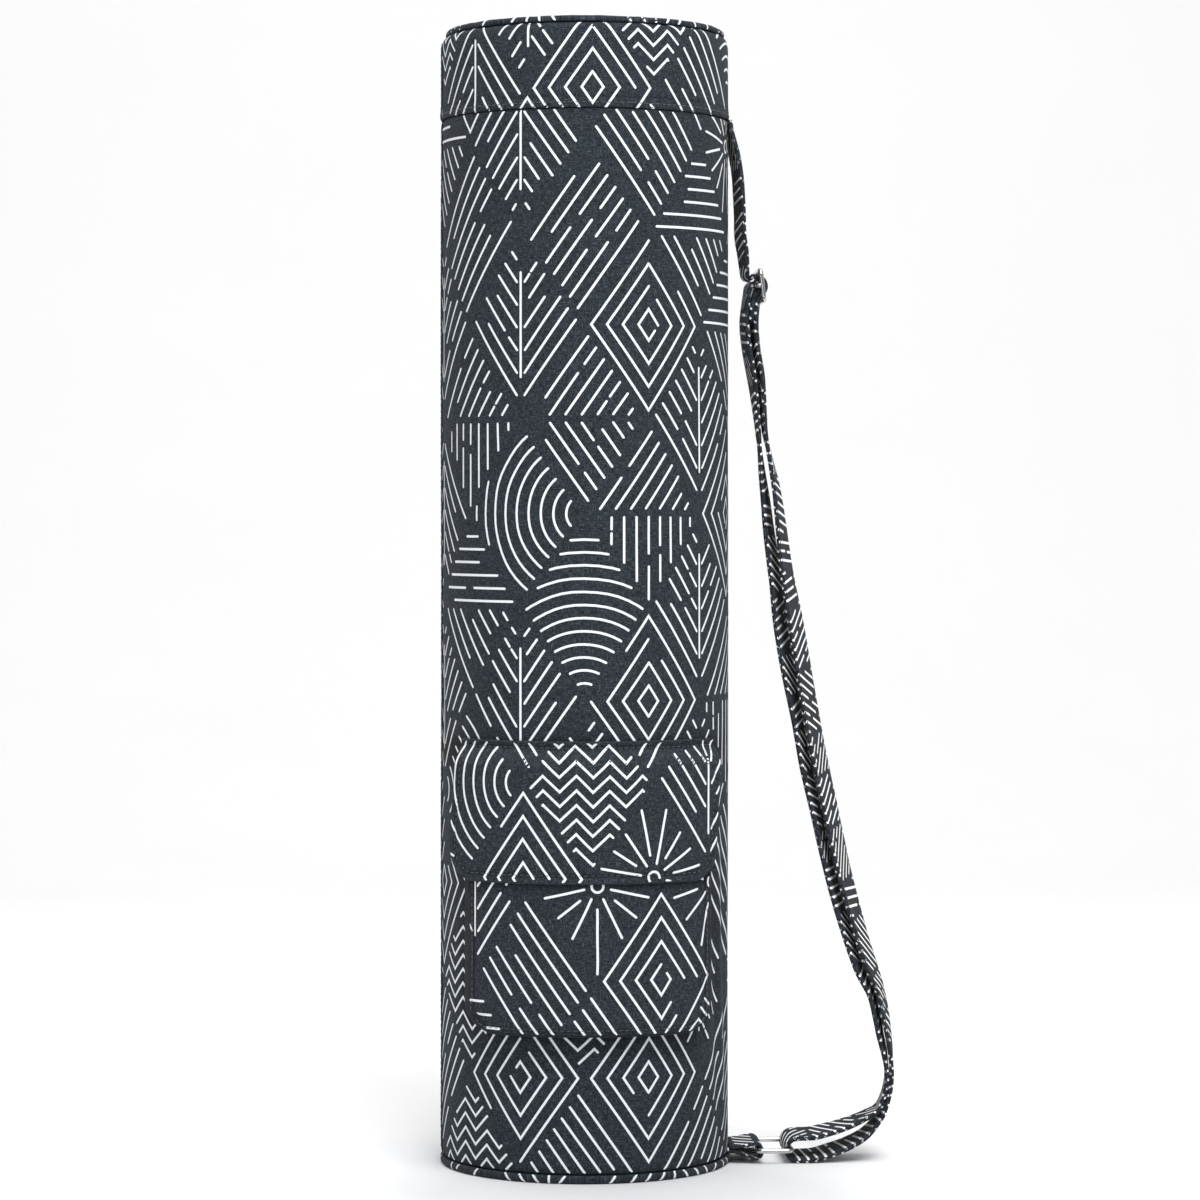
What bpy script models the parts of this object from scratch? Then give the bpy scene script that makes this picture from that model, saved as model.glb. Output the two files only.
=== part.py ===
"""Yoga mat bag: a zipped canvas tube with a flapped front pocket and an adjustable shoulder strap.

Metres, +Z up. The origin is the centre of the underside of the base. The pocket faces -Y and the
strap hangs on the +X side.
"""

import math

import bmesh
import bpy
from mathutils import Vector

# Clearances
GAP = 0.0003
FLOOR_GAP = 0.0004

# The tube, its base, lid and top
BAG_RADIUS = 0.085
BAG_HEIGHT = 0.670
LID_HEIGHT = 0.053
LID_SEAM_HEIGHT = BAG_HEIGHT - LID_HEIGHT
WALL = 0.002
WALL_EDGE_ROUND = 0.0006
LID_HEM_PROUD = 0.0004
LID_HEM_HEIGHT = 0.008
LID_ROLL = 0.0050
BASE_THICKNESS = 0.0024
BASE_WELT_HEIGHT = 0.0049
BASE_WELT_WIDTH = 0.0034
BASE_WELT_PROUD = 0.0009
TOP_THICKNESS = 0.0022
TOP_WELT_HEIGHT = 0.0036
TOP_WELT_WIDTH = 0.0042
TOP_DOME = 0.0012

# The zip on the side away from the strap
ZIP_ANGLE = math.radians(-104)
ZIP_SLIT_WIDTH = 0.0088
ZIP_BOTTOM = 0.016
ZIP_TOP_MARGIN = 0.016
ZIP_TAPE_WIDTH = 0.028
ZIP_TAPE_THICKNESS = 0.0011
ZIP_TAPE_OVERRUN = 0.005
ZIP_COIL_WIDTH = 0.0056
ZIP_COIL_HEIGHT = 0.0019
ZIP_SLIDER_WIDTH = 0.0076
ZIP_SLIDER_LENGTH = 0.0115
ZIP_SLIDER_HEIGHT = 0.0018
ZIP_PULL_WIDTH = 0.0066
ZIP_PULL_LENGTH = 0.026
ZIP_PULL_THICKNESS = 0.0010

# The pocket
POUCH_DEPTH = 0.013
POUCH_HALF_WIDTH = 0.0697
POUCH_BOTTOM = 0.086
POUCH_MOUTH = 0.238
POUCH_CORNER = 0.015
POUCH_CLOTH = 0.002
GUSSET_CLOTH = 0.0016
GUSSET_SIDE_SPREAD = 0.0032
GUSSET_BOTTOM_SPREAD = 0.0010
FLAP_TOP = 0.253
FLAP_HEIGHT = 0.0795
FLAP_WIDTH = 0.174
FLAP_CORNER = 0.019
FLAP_CLOTH = 0.002
FLAP_SHIFT = 0.0052

# The strap and its fittings
STRAP_WIDTH = 0.038
STRAP_THICKNESS = 0.0026
STRAP_REACH = 0.098
STRAP_BEND_HEIGHT = 0.052
STRAP_LOOP_RADIUS = 0.0064
STRAP_STEP = 0.0095
SLIDER_HEIGHT_SHARE = 0.8265
SLIDER_REACH_SHARE = 0.192
SLIDER_LEAN = math.radians(7)
SLIDER_WIRE = 0.003
SLIDER_BAR_SHARE = 0.96
SLIDER_BAR_SLACK = 0.0005
SLIDER_BAR_SET = 0.0036
SLIDER_FOLD_RADIUS = 0.0020
SLIDER_FOLD_ANGLE = math.radians(13.5)
SLIDER_FOLD_SLACK = 0.0004
RING_WIRE = 0.003
RING_PITCH = 0.0205
RING_HEIGHT = 0.0080
RING_DISTANCE = 0.0162
RING_CORNER = 0.003
FITTING_SLACK = 0.001
TAB_WIDTH = 0.038
TAB_THICKNESS = 0.002
TAB_HEIGHT = 0.0084
TAB_LOOP_RADIUS = 0.0043
TAB_SAG = 0.0008

# Fineness of the meshes
TURN_STEPS = 64
WIRE_RESOLUTION = 2
ARC_STEP = math.radians(24)
FLAP_COLUMNS = 16
POUCH_COLUMNS = 14
ZIP_TAPE_COLUMNS = 6

# Flap from its sewn edge out over the mouth: share of the drop from that edge to the mouth, and share
# of the pocket's depth that the flap stands out by
FLAP_FOLD = (
    {"drop": 0.00, "stand": 0.00},
    {"drop": 0.26, "stand": 0.00},
    {"drop": 0.46, "stand": 0.40},
    {"drop": 0.66, "stand": 0.80},
    {"drop": 0.88, "stand": 1.00},
)
FLAP_STRAIGHT_ROWS = 4
FLAP_CORNER_ROWS = 5

# Single stretch of the strap below the lid seam: height above the slider as a share of the stretch,
# distance from the bag wall as a share of the slider's own distance, and twist in degrees
STRAP_TOP_ROWS = (
    {"height": 1.00, "reach": 0.00, "twist": 0.0},
    {"height": 0.95, "reach": 0.02, "twist": -0.5},
    {"height": 0.88, "reach": 0.10, "twist": -1.0},
    {"height": 0.80, "reach": 0.20, "twist": -2.0},
    {"height": 0.64, "reach": 0.34, "twist": -2.5},
    {"height": 0.40, "reach": 0.43, "twist": -3.0},
    {"height": 0.24, "reach": 0.46, "twist": -3.0},
    {"height": 0.12, "reach": 0.58, "twist": -2.5},
)

# Doubled stretch, outer layer, from the slider down to the bend: height above the bend as a share of
# the height up to the lid seam, reach as a share of the full reach, layers of cloth from the outer
# layer to the inner one, spread between them beyond that as a share of the width, and twist in degrees
STRAP_HANG_ROWS = (
    {"height": 0.788, "reach": 0.160, "layers": 2, "spread": 0.006, "twist": 0.0},
    {"height": 0.765, "reach": 0.165, "layers": 1, "spread": 0.054, "twist": -1.0},
    {"height": 0.733, "reach": 0.198, "layers": 1, "spread": 0.062, "twist": 0.0},
    {"height": 0.706, "reach": 0.212, "layers": 1, "spread": 0.043, "twist": 1.5},
    {"height": 0.673, "reach": 0.228, "layers": 1, "spread": 0.030, "twist": 3.5},
    {"height": 0.640, "reach": 0.266, "layers": 1, "spread": 0.083, "twist": 7.0},
    {"height": 0.612, "reach": 0.298, "layers": 1, "spread": 0.113, "twist": 9.5},
    {"height": 0.561, "reach": 0.334, "layers": 1, "spread": 0.117, "twist": 12.4},
    {"height": 0.519, "reach": 0.366, "layers": 1, "spread": 0.109, "twist": 14.0},
    {"height": 0.476, "reach": 0.411, "layers": 1, "spread": 0.141, "twist": 16.3},
    {"height": 0.421, "reach": 0.463, "layers": 1, "spread": 0.130, "twist": 17.0},
    {"height": 0.372, "reach": 0.512, "layers": 1, "spread": 0.104, "twist": 17.0},
    {"height": 0.329, "reach": 0.558, "layers": 1, "spread": 0.112, "twist": 17.0},
    {"height": 0.288, "reach": 0.609, "layers": 1, "spread": 0.101, "twist": 17.0},
    {"height": 0.215, "reach": 0.700, "layers": 1, "spread": 0.096, "twist": 16.0},
    {"height": 0.173, "reach": 0.765, "layers": 1, "spread": 0.104, "twist": 14.5},
    {"height": 0.142, "reach": 0.815, "layers": 1, "spread": 0.093, "twist": 14.0},
    {"height": 0.113, "reach": 0.870, "layers": 1, "spread": 0.085, "twist": 13.0},
    {"height": 0.086, "reach": 0.927, "layers": 1, "spread": 0.056, "twist": 10.5},
    {"height": 0.062, "reach": 0.957, "layers": 1, "spread": 0.051, "twist": 10.0},
    {"height": 0.040, "reach": 0.979, "layers": 1, "spread": 0.051, "twist": 8.5},
    {"height": 0.018, "reach": 0.994, "layers": 1, "spread": 0.018, "twist": 7.0},
    {"height": 0.000, "reach": 1.000, "layers": 1, "spread": 0.003, "twist": 6.0},
)

# The same layer from the bend along the floor to the ring: distance back from the full reach as a
# share of the way to the end loop, height as a share of the bend's height, and as above
STRAP_FLOOR_ROWS = (
    {"back": 0.018, "height": 0.775, "layers": 1, "spread": 0.003, "twist": 6.5},
    {"back": 0.081, "height": 0.543, "layers": 1, "spread": 0.018, "twist": 5.5},
    {"back": 0.129, "height": 0.449, "layers": 1, "spread": 0.065, "twist": 4.5},
    {"back": 0.271, "height": 0.266, "layers": 1, "spread": 0.180, "twist": 2.5},
    {"back": 0.460, "height": 0.139, "layers": 1, "spread": 0.225, "twist": 1.0},
    {"back": 0.667, "height": 0.052, "layers": 1, "spread": 0.250, "twist": 0.0},
    {"back": 0.800, "height": 0.010, "layers": 1, "spread": 0.260, "twist": 0.0},
)

UP = Vector((0.0, 0.0, 1.0))
ACROSS = Vector((0.0, 1.0, 0.0))


def clear_scene():
    """Start from an empty scene"""
    for item in list(bpy.data.objects):
        bpy.data.objects.remove(item, do_unlink=True)


def new_collection(name):
    """Make a collection in the scene"""
    collection = bpy.data.collections.new(name)
    bpy.context.scene.collection.children.link(collection)
    return collection


def principled(name, colour, roughness, metallic=0.0):
    """Make a plain material"""
    material = bpy.data.materials.new(name)
    material.use_nodes = True
    shader = material.node_tree.nodes["Principled BSDF"]
    shader.inputs["Base Color"].default_value = (*colour, 1.0)
    shader.inputs["Roughness"].default_value = roughness
    shader.inputs["Metallic"].default_value = metallic
    return material


def new_object(name, data, collection, root, material=None):
    """Put data into the collection as a named child of the root"""
    item = bpy.data.objects.new(name, data)
    collection.objects.link(item)
    item.parent = root
    if material is not None:
        data.materials.append(material)
    return item


def smooth(item, angle=math.radians(35)):
    """Shade a mesh smooth, with its sharp edges kept"""
    item.data.shade_smooth()
    item.data.set_sharp_from_angle(angle=angle)


def turned(name, profile, closed, collection, root, material):
    """Turn a profile of (radius, height) points about the Z axis"""
    mesh = bpy.data.meshes.new(name)
    points = [(radius, 0.0, height) for radius, height in profile]
    edges = [(index, index + 1) for index in range(len(points) - 1)]
    if closed:
        edges.append((len(points) - 1, 0))
    mesh.from_pydata(points, edges, [])
    item = new_object(name, mesh, collection, root, material)
    screw = item.modifiers.new("turn", "SCREW")
    screw.axis = "Z"
    screw.steps = TURN_STEPS
    screw.render_steps = TURN_STEPS
    screw.use_merge_vertices = True
    screw.merge_threshold = 0.00005
    screw.use_smooth_shade = True
    return item


def bent_sheet(name, columns, rows, place, thickness, collection, root, material):
    """Bend a grid to place(column, row) and thicken it about its middle surface"""
    mesh = bpy.data.meshes.new(name)
    grid = bmesh.new()
    bmesh.ops.create_grid(grid, x_segments=columns, y_segments=rows, size=0.5)
    for vert in grid.verts:
        column = round((vert.co.x + 0.5) * columns)
        row = round((vert.co.y + 0.5) * rows)
        vert.co = place(column, row)
    grid.to_mesh(mesh)
    grid.free()
    item = new_object(name, mesh, collection, root, material)
    solid = item.modifiers.new("cloth", "SOLIDIFY")
    solid.thickness = thickness
    solid.offset = 0.0
    solid.use_even_offset = True
    smooth(item)
    return item


def loft(name, sections, collection, root, material):
    """Join a row of like rings of points into a closed solid"""
    mesh = bpy.data.meshes.new(name)
    body = bmesh.new()
    rings = [[body.verts.new(point) for point in section] for section in sections]
    count = len(rings[0])
    for ring, following in zip(rings, rings[1:]):
        for index in range(count):
            other = (index + 1) % count
            body.faces.new((ring[index], ring[other], following[other], following[index]))
    body.faces.new(rings[0])
    body.faces.new(rings[-1])
    bmesh.ops.recalc_face_normals(body, faces=body.faces)
    body.to_mesh(mesh)
    body.free()
    item = new_object(name, mesh, collection, root, material)
    smooth(item)
    return item


def wire(name, points, closed, thickness, collection, root, material=None):
    """Round wire through a row of points"""
    curve = bpy.data.curves.new(name, "CURVE")
    curve.dimensions = "3D"
    curve.bevel_depth = thickness / 2
    curve.bevel_resolution = WIRE_RESOLUTION
    curve.use_fill_caps = not closed
    spline = curve.splines.new("POLY")
    spline.points.add(len(points) - 1)
    for point, place in zip(spline.points, points):
        point.co = (*place, 1.0)
    spline.use_cyclic_u = closed
    return new_object(name, curve, collection, root, material)


def rectangle(half_length, half_width, corner):
    """Points round a level rectangle with rounded corners"""
    points = []
    for turn in range(4):
        side_x = 1 if turn in (0, 3) else -1
        side_y = 1 if turn in (0, 1) else -1
        for step in range(5):
            angle = math.pi / 2 * (turn + step / 4)
            points.append((side_x * (half_length - corner) + corner * math.cos(angle),
                           side_y * (half_width - corner) + corner * math.sin(angle), 0.0))
    return points


def as_mesh(item, collection, root):
    """Replace a curve object by its own mesh, with the same name and place"""
    bpy.context.view_layer.update()
    evaluated = item.evaluated_get(bpy.context.evaluated_depsgraph_get())
    mesh = bpy.data.meshes.new_from_object(evaluated)
    name = item.name
    place = item.matrix_world.copy()
    bpy.data.objects.remove(item, do_unlink=True)
    mesh.name = name
    solid = new_object(name, mesh, collection, root)
    solid.matrix_world = place
    return solid


def cut_or_join(item, tool, operation):
    """Cut a tool out of an object, or join it on"""
    modifier = item.modifiers.new(operation.lower(), "BOOLEAN")
    modifier.operation = operation
    modifier.solver = "EXACT"
    modifier.object = tool
    tool.hide_render = True
    tool.display_type = "WIRE"


def box(name, low, high, collection, root):
    """A box between two corners"""
    mesh = bpy.data.meshes.new(name)
    body = bmesh.new()
    bmesh.ops.create_cube(body, size=1.0)
    for vert in body.verts:
        vert.co = Vector([low[axis] + (vert.co[axis] + 0.5) * (high[axis] - low[axis]) for axis in range(3)])
    body.to_mesh(mesh)
    body.free()
    return new_object(name, mesh, collection, root)


def on_cylinder(radius, angle, height):
    """The point at an angle from the front, positive towards the strap"""
    return Vector((radius * math.sin(angle), -radius * math.cos(angle), height))


def in_front(radius, x, height):
    """The point of a cylinder about the bag's axis that is straight in front of x"""
    return Vector((x, -math.sqrt(radius * radius - x * x), height))


def tangent_line(first, second):
    """The straight run from one circle of a belt to the next

    A circle is (centre, radius, side), with side +1 where its centre lies left of the way along.
    """
    between = second[0] - first[0]
    shift = (second[2] * second[1] - first[2] * first[1]) / between.length
    angle = math.atan2(between.y, between.x) - math.asin(shift)
    left = Vector((-math.sin(angle), math.cos(angle)))
    start = first[0] - left * (first[2] * first[1])
    end = second[0] - left * (second[2] * second[1])
    return start, end


def belt(circles):
    """Points along a belt that starts and ends at circles of no radius and bends round the others"""
    runs = [tangent_line(first, second) for first, second in zip(circles, circles[1:])]
    points = [runs[0][0]]
    for (centre, radius, side), arriving, leaving in zip(circles[1:-1], runs, runs[1:]):
        entry = arriving[1] - centre
        leave = leaving[0] - centre
        start = math.atan2(entry.y, entry.x)
        sweep = (side * (math.atan2(leave.y, leave.x) - start)) % (2 * math.pi)
        steps = max(1, math.ceil(sweep / ARC_STEP))
        for step in range(steps + 1):
            angle = start + side * sweep * step / steps
            points.append(centre + radius * Vector((math.cos(angle), math.sin(angle))))
    points.append(runs[-1][1])
    return points


def smooth_rows(rows, first_way, last_way, step):
    """Points of a smooth curve through rows whose first two values are a place in the plane"""
    knots = [0.0]
    for row, following in zip(rows, rows[1:]):
        knots.append(knots[-1] + math.hypot(following[0] - row[0], following[1] - row[1]))
    count = len(rows)
    width = len(rows[0])
    slopes = []
    for index in range(count):
        low = max(index - 1, 0)
        high = min(index + 1, count - 1)
        span = knots[high] - knots[low]
        slopes.append([(rows[high][item] - rows[low][item]) / span for item in range(width)])
    slopes[0][:2] = first_way
    slopes[-1][:2] = last_way
    curve = []
    for index in range(count - 1):
        length = knots[index + 1] - knots[index]
        pieces = max(1, round(length / step))
        for piece in range(pieces):
            curve.append(hermite(rows[index], slopes[index], rows[index + 1], slopes[index + 1],
                                 length, piece / pieces))
    curve.append(list(rows[-1]))
    return curve


def hermite(start, start_slope, end, end_slope, length, share):
    """One point of a cubic between two rows"""
    square = share * share
    cube = square * share
    weights = (2 * cube - 3 * square + 1, cube - 2 * square + share,
               3 * square - 2 * cube, cube - square)
    return [weights[0] * a + weights[1] * length * sa + weights[2] * b + weights[3] * length * sb
            for a, sa, b, sb in zip(start, start_slope, end, end_slope)]


def make_tube(collection, cutters, root, cloth):
    """The body, base, lid and top of the bag"""
    inner = BAG_RADIUS - WALL
    body_low = BASE_WELT_HEIGHT + GAP
    body_high = LID_SEAM_HEIGHT - GAP
    edge = WALL_EDGE_ROUND
    body = turned("bag_body", [
        (BAG_RADIUS - edge, body_high), (BAG_RADIUS, body_high - edge),
        (BAG_RADIUS, body_low + edge), (BAG_RADIUS - edge, body_low),
        (inner, body_low), (inner, body_high),
    ], True, collection, root, cloth)

    outer = BAG_RADIUS + BASE_WELT_PROUD
    welt_inner = outer - BASE_WELT_WIDTH
    turned("base_panel", [
        (0.0, BASE_THICKNESS), (welt_inner, BASE_THICKNESS),
        (welt_inner + 0.25 * BASE_WELT_WIDTH, BASE_WELT_HEIGHT * 0.94),
        (welt_inner + 0.50 * BASE_WELT_WIDTH, BASE_WELT_HEIGHT),
        (outer - 0.20 * BASE_WELT_WIDTH, BASE_WELT_HEIGHT * 0.92),
        (outer, BASE_WELT_HEIGHT * 0.60), (outer - 0.08 * BASE_WELT_WIDTH, BASE_WELT_HEIGHT * 0.24),
        (outer - 0.40 * BASE_WELT_WIDTH, 0.0), (0.0, 0.0),
    ], False, collection, root, cloth)

    top_seam = BAG_HEIGHT - TOP_WELT_HEIGHT
    lid_high = top_seam - GAP
    hem = BAG_RADIUS + LID_HEM_PROUD
    roll_centre = (BAG_RADIUS - LID_ROLL, lid_high - LID_ROLL)
    outer_roll = []
    inner_roll = []
    for degrees in (78, 52, 26, 0):
        angle = math.radians(degrees)
        outer_roll.append((roll_centre[0] + LID_ROLL * math.cos(angle),
                           roll_centre[1] + LID_ROLL * math.sin(angle)))
        inner_roll.append((roll_centre[0] + (LID_ROLL - WALL) * math.cos(angle),
                           roll_centre[1] + (LID_ROLL - WALL) * math.sin(angle)))
    lid = turned("lid_band", outer_roll + [
        (BAG_RADIUS, LID_SEAM_HEIGHT + LID_HEM_HEIGHT), (hem, LID_SEAM_HEIGHT + LID_HEM_HEIGHT * 0.8),
        (hem, LID_SEAM_HEIGHT), (hem - WALL, LID_SEAM_HEIGHT),
        (inner, LID_SEAM_HEIGHT + LID_HEM_HEIGHT),
    ] + inner_roll[::-1], True, collection, root, cloth)

    welt_centre = BAG_RADIUS - LID_ROLL + TOP_WELT_WIDTH * 0.15
    half = TOP_WELT_WIDTH / 2
    panel_top = top_seam + TOP_WELT_HEIGHT * 0.25
    turned("top_panel", [
        (0.0, panel_top + TOP_DOME), (welt_centre * 0.6, panel_top + TOP_DOME * 0.62),
        (welt_centre - half, panel_top),
        (welt_centre - half * 0.6, BAG_HEIGHT - TOP_WELT_HEIGHT * 0.14), (welt_centre, BAG_HEIGHT),
        (welt_centre + half * 0.7, BAG_HEIGHT - TOP_WELT_HEIGHT * 0.18),
        (welt_centre + half, top_seam + TOP_WELT_HEIGHT * 0.42), (welt_centre + half * 0.7, top_seam),
        (welt_centre - half, top_seam), (welt_centre - half - WALL, panel_top - TOP_THICKNESS),
        (welt_centre * 0.6, panel_top - TOP_THICKNESS + TOP_DOME * 0.62),
        (0.0, panel_top - TOP_THICKNESS + TOP_DOME),
    ], False, collection, root, cloth)

    slit = box("zip_slit", (-ZIP_SLIT_WIDTH / 2, -BAG_RADIUS - WALL, ZIP_BOTTOM),
               (ZIP_SLIT_WIDTH / 2, -inner + WALL, BAG_HEIGHT - ZIP_TOP_MARGIN), cutters, root)
    slit.rotation_euler.z = ZIP_ANGLE
    cut_or_join(body, slit, "DIFFERENCE")
    cut_or_join(lid, slit, "DIFFERENCE")


def make_zip(collection, cutters, root, tape_material):
    """The closed zip: tape behind the wall, coil in the slit, slider and pull outside it"""
    behind = BAG_RADIUS - WALL - GAP
    inside = behind - ZIP_TAPE_THICKNESS
    half_angle = ZIP_TAPE_WIDTH / 2 / behind
    coil_angle = ZIP_COIL_WIDTH / 2 / behind
    crest = behind + ZIP_COIL_HEIGHT
    slit_high = BAG_HEIGHT - ZIP_TOP_MARGIN
    sections = []
    for height, ridge in ((ZIP_BOTTOM - ZIP_TAPE_OVERRUN, behind), (ZIP_BOTTOM + GAP, behind),
                          (ZIP_BOTTOM + ZIP_COIL_HEIGHT, crest), (slit_high - ZIP_COIL_HEIGHT, crest),
                          (slit_high - GAP, behind), (slit_high + ZIP_TAPE_OVERRUN, behind)):
        outline = [(inside, half_angle * (1 - 2 * step / ZIP_TAPE_COLUMNS))
                   for step in range(ZIP_TAPE_COLUMNS + 1)]
        outline += [(behind, -half_angle), (behind, -(half_angle + coil_angle) / 2), (behind, -coil_angle),
                    (ridge, -coil_angle * 0.7), (ridge, coil_angle * 0.7), (behind, coil_angle),
                    (behind, (half_angle + coil_angle) / 2), (behind, half_angle)]
        sections.append([on_cylinder(radius, angle, height) for radius, angle in outline])
    zip_item = loft("side_zip", sections, collection, root, tape_material)
    slider_high = BAG_HEIGHT - ZIP_TOP_MARGIN - GAP
    slider_low = slider_high - ZIP_SLIDER_LENGTH
    outside = BAG_RADIUS + GAP
    slider = box("zip_slider_join", (-ZIP_SLIDER_WIDTH / 2, -outside - ZIP_SLIDER_HEIGHT / 2, slider_low),
                 (ZIP_SLIDER_WIDTH / 2, -crest + ZIP_COIL_HEIGHT / 2, slider_high), cutters, root)
    pull_high = slider_high - ZIP_SLIDER_LENGTH / 3
    pull = box("zip_pull_join", (-ZIP_PULL_WIDTH / 2, -outside - ZIP_PULL_THICKNESS, pull_high - ZIP_PULL_LENGTH),
               (ZIP_PULL_WIDTH / 2, -outside, pull_high), cutters, root)
    for tool in (slider, pull):
        cut_or_join(zip_item, tool, "UNION")
        zip_item.modifiers[-1].name = "join " + tool.name
    zip_item.rotation_euler.z = ZIP_ANGLE
    slider.rotation_euler.z = ZIP_ANGLE
    pull.rotation_euler.z = ZIP_ANGLE


def pouch_outline(half_width, bottom, corner, top):
    """The pouch seen from the front, as (x, z) points from one end of the mouth to the other"""
    side_rows = 4
    corner_rows = 5
    bottom_columns = 12
    spread = math.asin((half_width - corner) / BAG_RADIUS)
    left = [(-half_width, top + (bottom + corner - top) * row / side_rows) for row in range(side_rows)]
    for row in range(corner_rows + 1):
        angle = math.pi / 2 * row / corner_rows
        left.append((-half_width + corner - corner * math.cos(angle), bottom + corner - corner * math.sin(angle)))
    middle = [(BAG_RADIUS * math.sin(spread * (2 * column / bottom_columns - 1)), bottom)
              for column in range(1, bottom_columns)]
    return left + middle + [(-x, z) for x, z in reversed(left)]


def make_pouch(collection, root, cloth):
    """The pocket: a curved front panel on a gusset that stands on the bag"""
    panel_inner = BAG_RADIUS + POUCH_DEPTH - POUCH_CLOTH
    middle = panel_inner + POUCH_CLOTH / 2
    corner_rows = 5
    straight_rows = 5
    straight = POUCH_MOUTH - POUCH_BOTTOM - POUCH_CORNER

    def panel_place(column, row):
        if row <= straight_rows:
            height = POUCH_MOUTH - straight * row / straight_rows
            half = POUCH_HALF_WIDTH
        else:
            angle = math.pi / 2 * (row - straight_rows) / corner_rows
            height = POUCH_BOTTOM + POUCH_CORNER * (1 - math.sin(angle))
            half = POUCH_HALF_WIDTH - POUCH_CORNER * (1 - math.cos(angle))
        return in_front(middle, half * (2 * column / POUCH_COLUMNS - 1), height)

    bent_sheet("pouch_panel", POUCH_COLUMNS, straight_rows + corner_rows, panel_place, POUCH_CLOTH,
               collection, root, cloth)

    tip = panel_inner - GAP
    foot = BAG_RADIUS + GAP
    tip_half = POUCH_HALF_WIDTH * tip / middle
    foot_half = tip_half + GUSSET_SIDE_SPREAD
    foot_bottom = POUCH_BOTTOM - GUSSET_BOTTOM_SPREAD
    cloth_in = GUSSET_CLOTH
    edges = (
        (foot, pouch_outline(foot_half, foot_bottom, POUCH_CORNER, POUCH_MOUTH)),
        (tip, pouch_outline(tip_half, POUCH_BOTTOM, POUCH_CORNER, POUCH_MOUTH)),
        (tip, pouch_outline(tip_half - cloth_in, POUCH_BOTTOM + cloth_in, POUCH_CORNER - cloth_in, POUCH_MOUTH)),
        (foot, pouch_outline(foot_half - cloth_in, foot_bottom + cloth_in, POUCH_CORNER - cloth_in, POUCH_MOUTH)),
    )
    sections = [[in_front(radius, *outline[index]) for radius, outline in edges]
                for index in range(len(edges[0][1]))]
    loft("pouch_gusset", sections, collection, root, cloth)


def make_flap(collection, root, cloth):
    """The flap: sewn flat to the bag, out over the mouth, then down in front of the pouch"""
    sewn = BAG_RADIUS + GAP + FLAP_CLOTH / 2
    hanging = BAG_RADIUS + POUCH_DEPTH + GAP + FLAP_CLOTH / 2
    straight = FLAP_HEIGHT - FLAP_CORNER
    rows = [((FLAP_TOP - POUCH_MOUTH) * row["drop"], row["stand"], 0.0) for row in FLAP_FOLD]
    folded = rows[-1][0]
    for step in range(1, FLAP_STRAIGHT_ROWS + 1):
        rows.append((folded + (straight - folded) * step / FLAP_STRAIGHT_ROWS, 1.0, 0.0))
    for step in range(1, FLAP_CORNER_ROWS + 1):
        angle = math.pi / 2 * step / FLAP_CORNER_ROWS
        rows.append((straight + FLAP_CORNER * math.sin(angle), 1.0, FLAP_CORNER * (1 - math.cos(angle))))

    def flap_place(column, row):
        drop, stand, narrow = rows[row]
        across = 2 * column / FLAP_COLUMNS - 1
        radius = sewn + (hanging - sewn) * stand
        arc = across * (FLAP_WIDTH / 2 - narrow) - FLAP_SHIFT * min(1.0, drop / straight)
        return on_cylinder(radius, arc / radius, FLAP_TOP - drop)

    bent_sheet("pocket_flap", FLAP_COLUMNS, len(rows) - 1, flap_place, FLAP_CLOTH, collection, root, cloth)


def slider_frame():
    """Place and directions of the slider, and the places of its bars"""
    pitch = STRAP_THICKNESS + GAP
    close = SLIDER_WIRE / 2 + GAP + STRAP_THICKNESS / 2
    centre = Vector((BAG_RADIUS + SLIDER_REACH_SHARE * STRAP_REACH,
                     STRAP_BEND_HEIGHT + SLIDER_HEIGHT_SHARE * (LID_SEAM_HEIGHT - STRAP_BEND_HEIGHT)))
    down = Vector((math.sin(SLIDER_LEAN), -math.cos(SLIDER_LEAN)))
    out = Vector((math.cos(SLIDER_LEAN), math.sin(SLIDER_LEAN)))
    bar_pitch = math.sqrt((2 * close + pitch + SLIDER_BAR_SLACK) ** 2 - SLIDER_BAR_SET ** 2)
    middle = centre - out * SLIDER_BAR_SET
    fold_distance = close + pitch + SLIDER_FOLD_RADIUS + SLIDER_FOLD_SLACK
    fold = middle - (down * math.cos(SLIDER_FOLD_ANGLE) + out * math.sin(SLIDER_FOLD_ANGLE)) * fold_distance
    return {
        "centre": centre, "down": down, "out": out, "bar_pitch": bar_pitch, "close": close, "pitch": pitch,
        "top": centre - down * bar_pitch, "fold": fold, "middle": middle, "bottom": centre + down * bar_pitch,
    }


def ring_places():
    """Centres of the ring's two cross bars, and of the strap's end loop"""
    near = Vector((BAG_RADIUS + RING_DISTANCE, RING_HEIGHT))
    far = near + Vector((RING_PITCH, 0.0))
    slack = STRAP_LOOP_RADIUS - STRAP_THICKNESS / 2 - GAP - RING_WIRE / 2
    lowest = FLOOR_GAP + STRAP_THICKNESS / 2 + STRAP_LOOP_RADIUS
    rise = max(-slack, min(slack, lowest - RING_HEIGHT))
    loop = far + Vector((math.sqrt(slack * slack - rise * rise), rise))
    return near, far, loop


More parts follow.
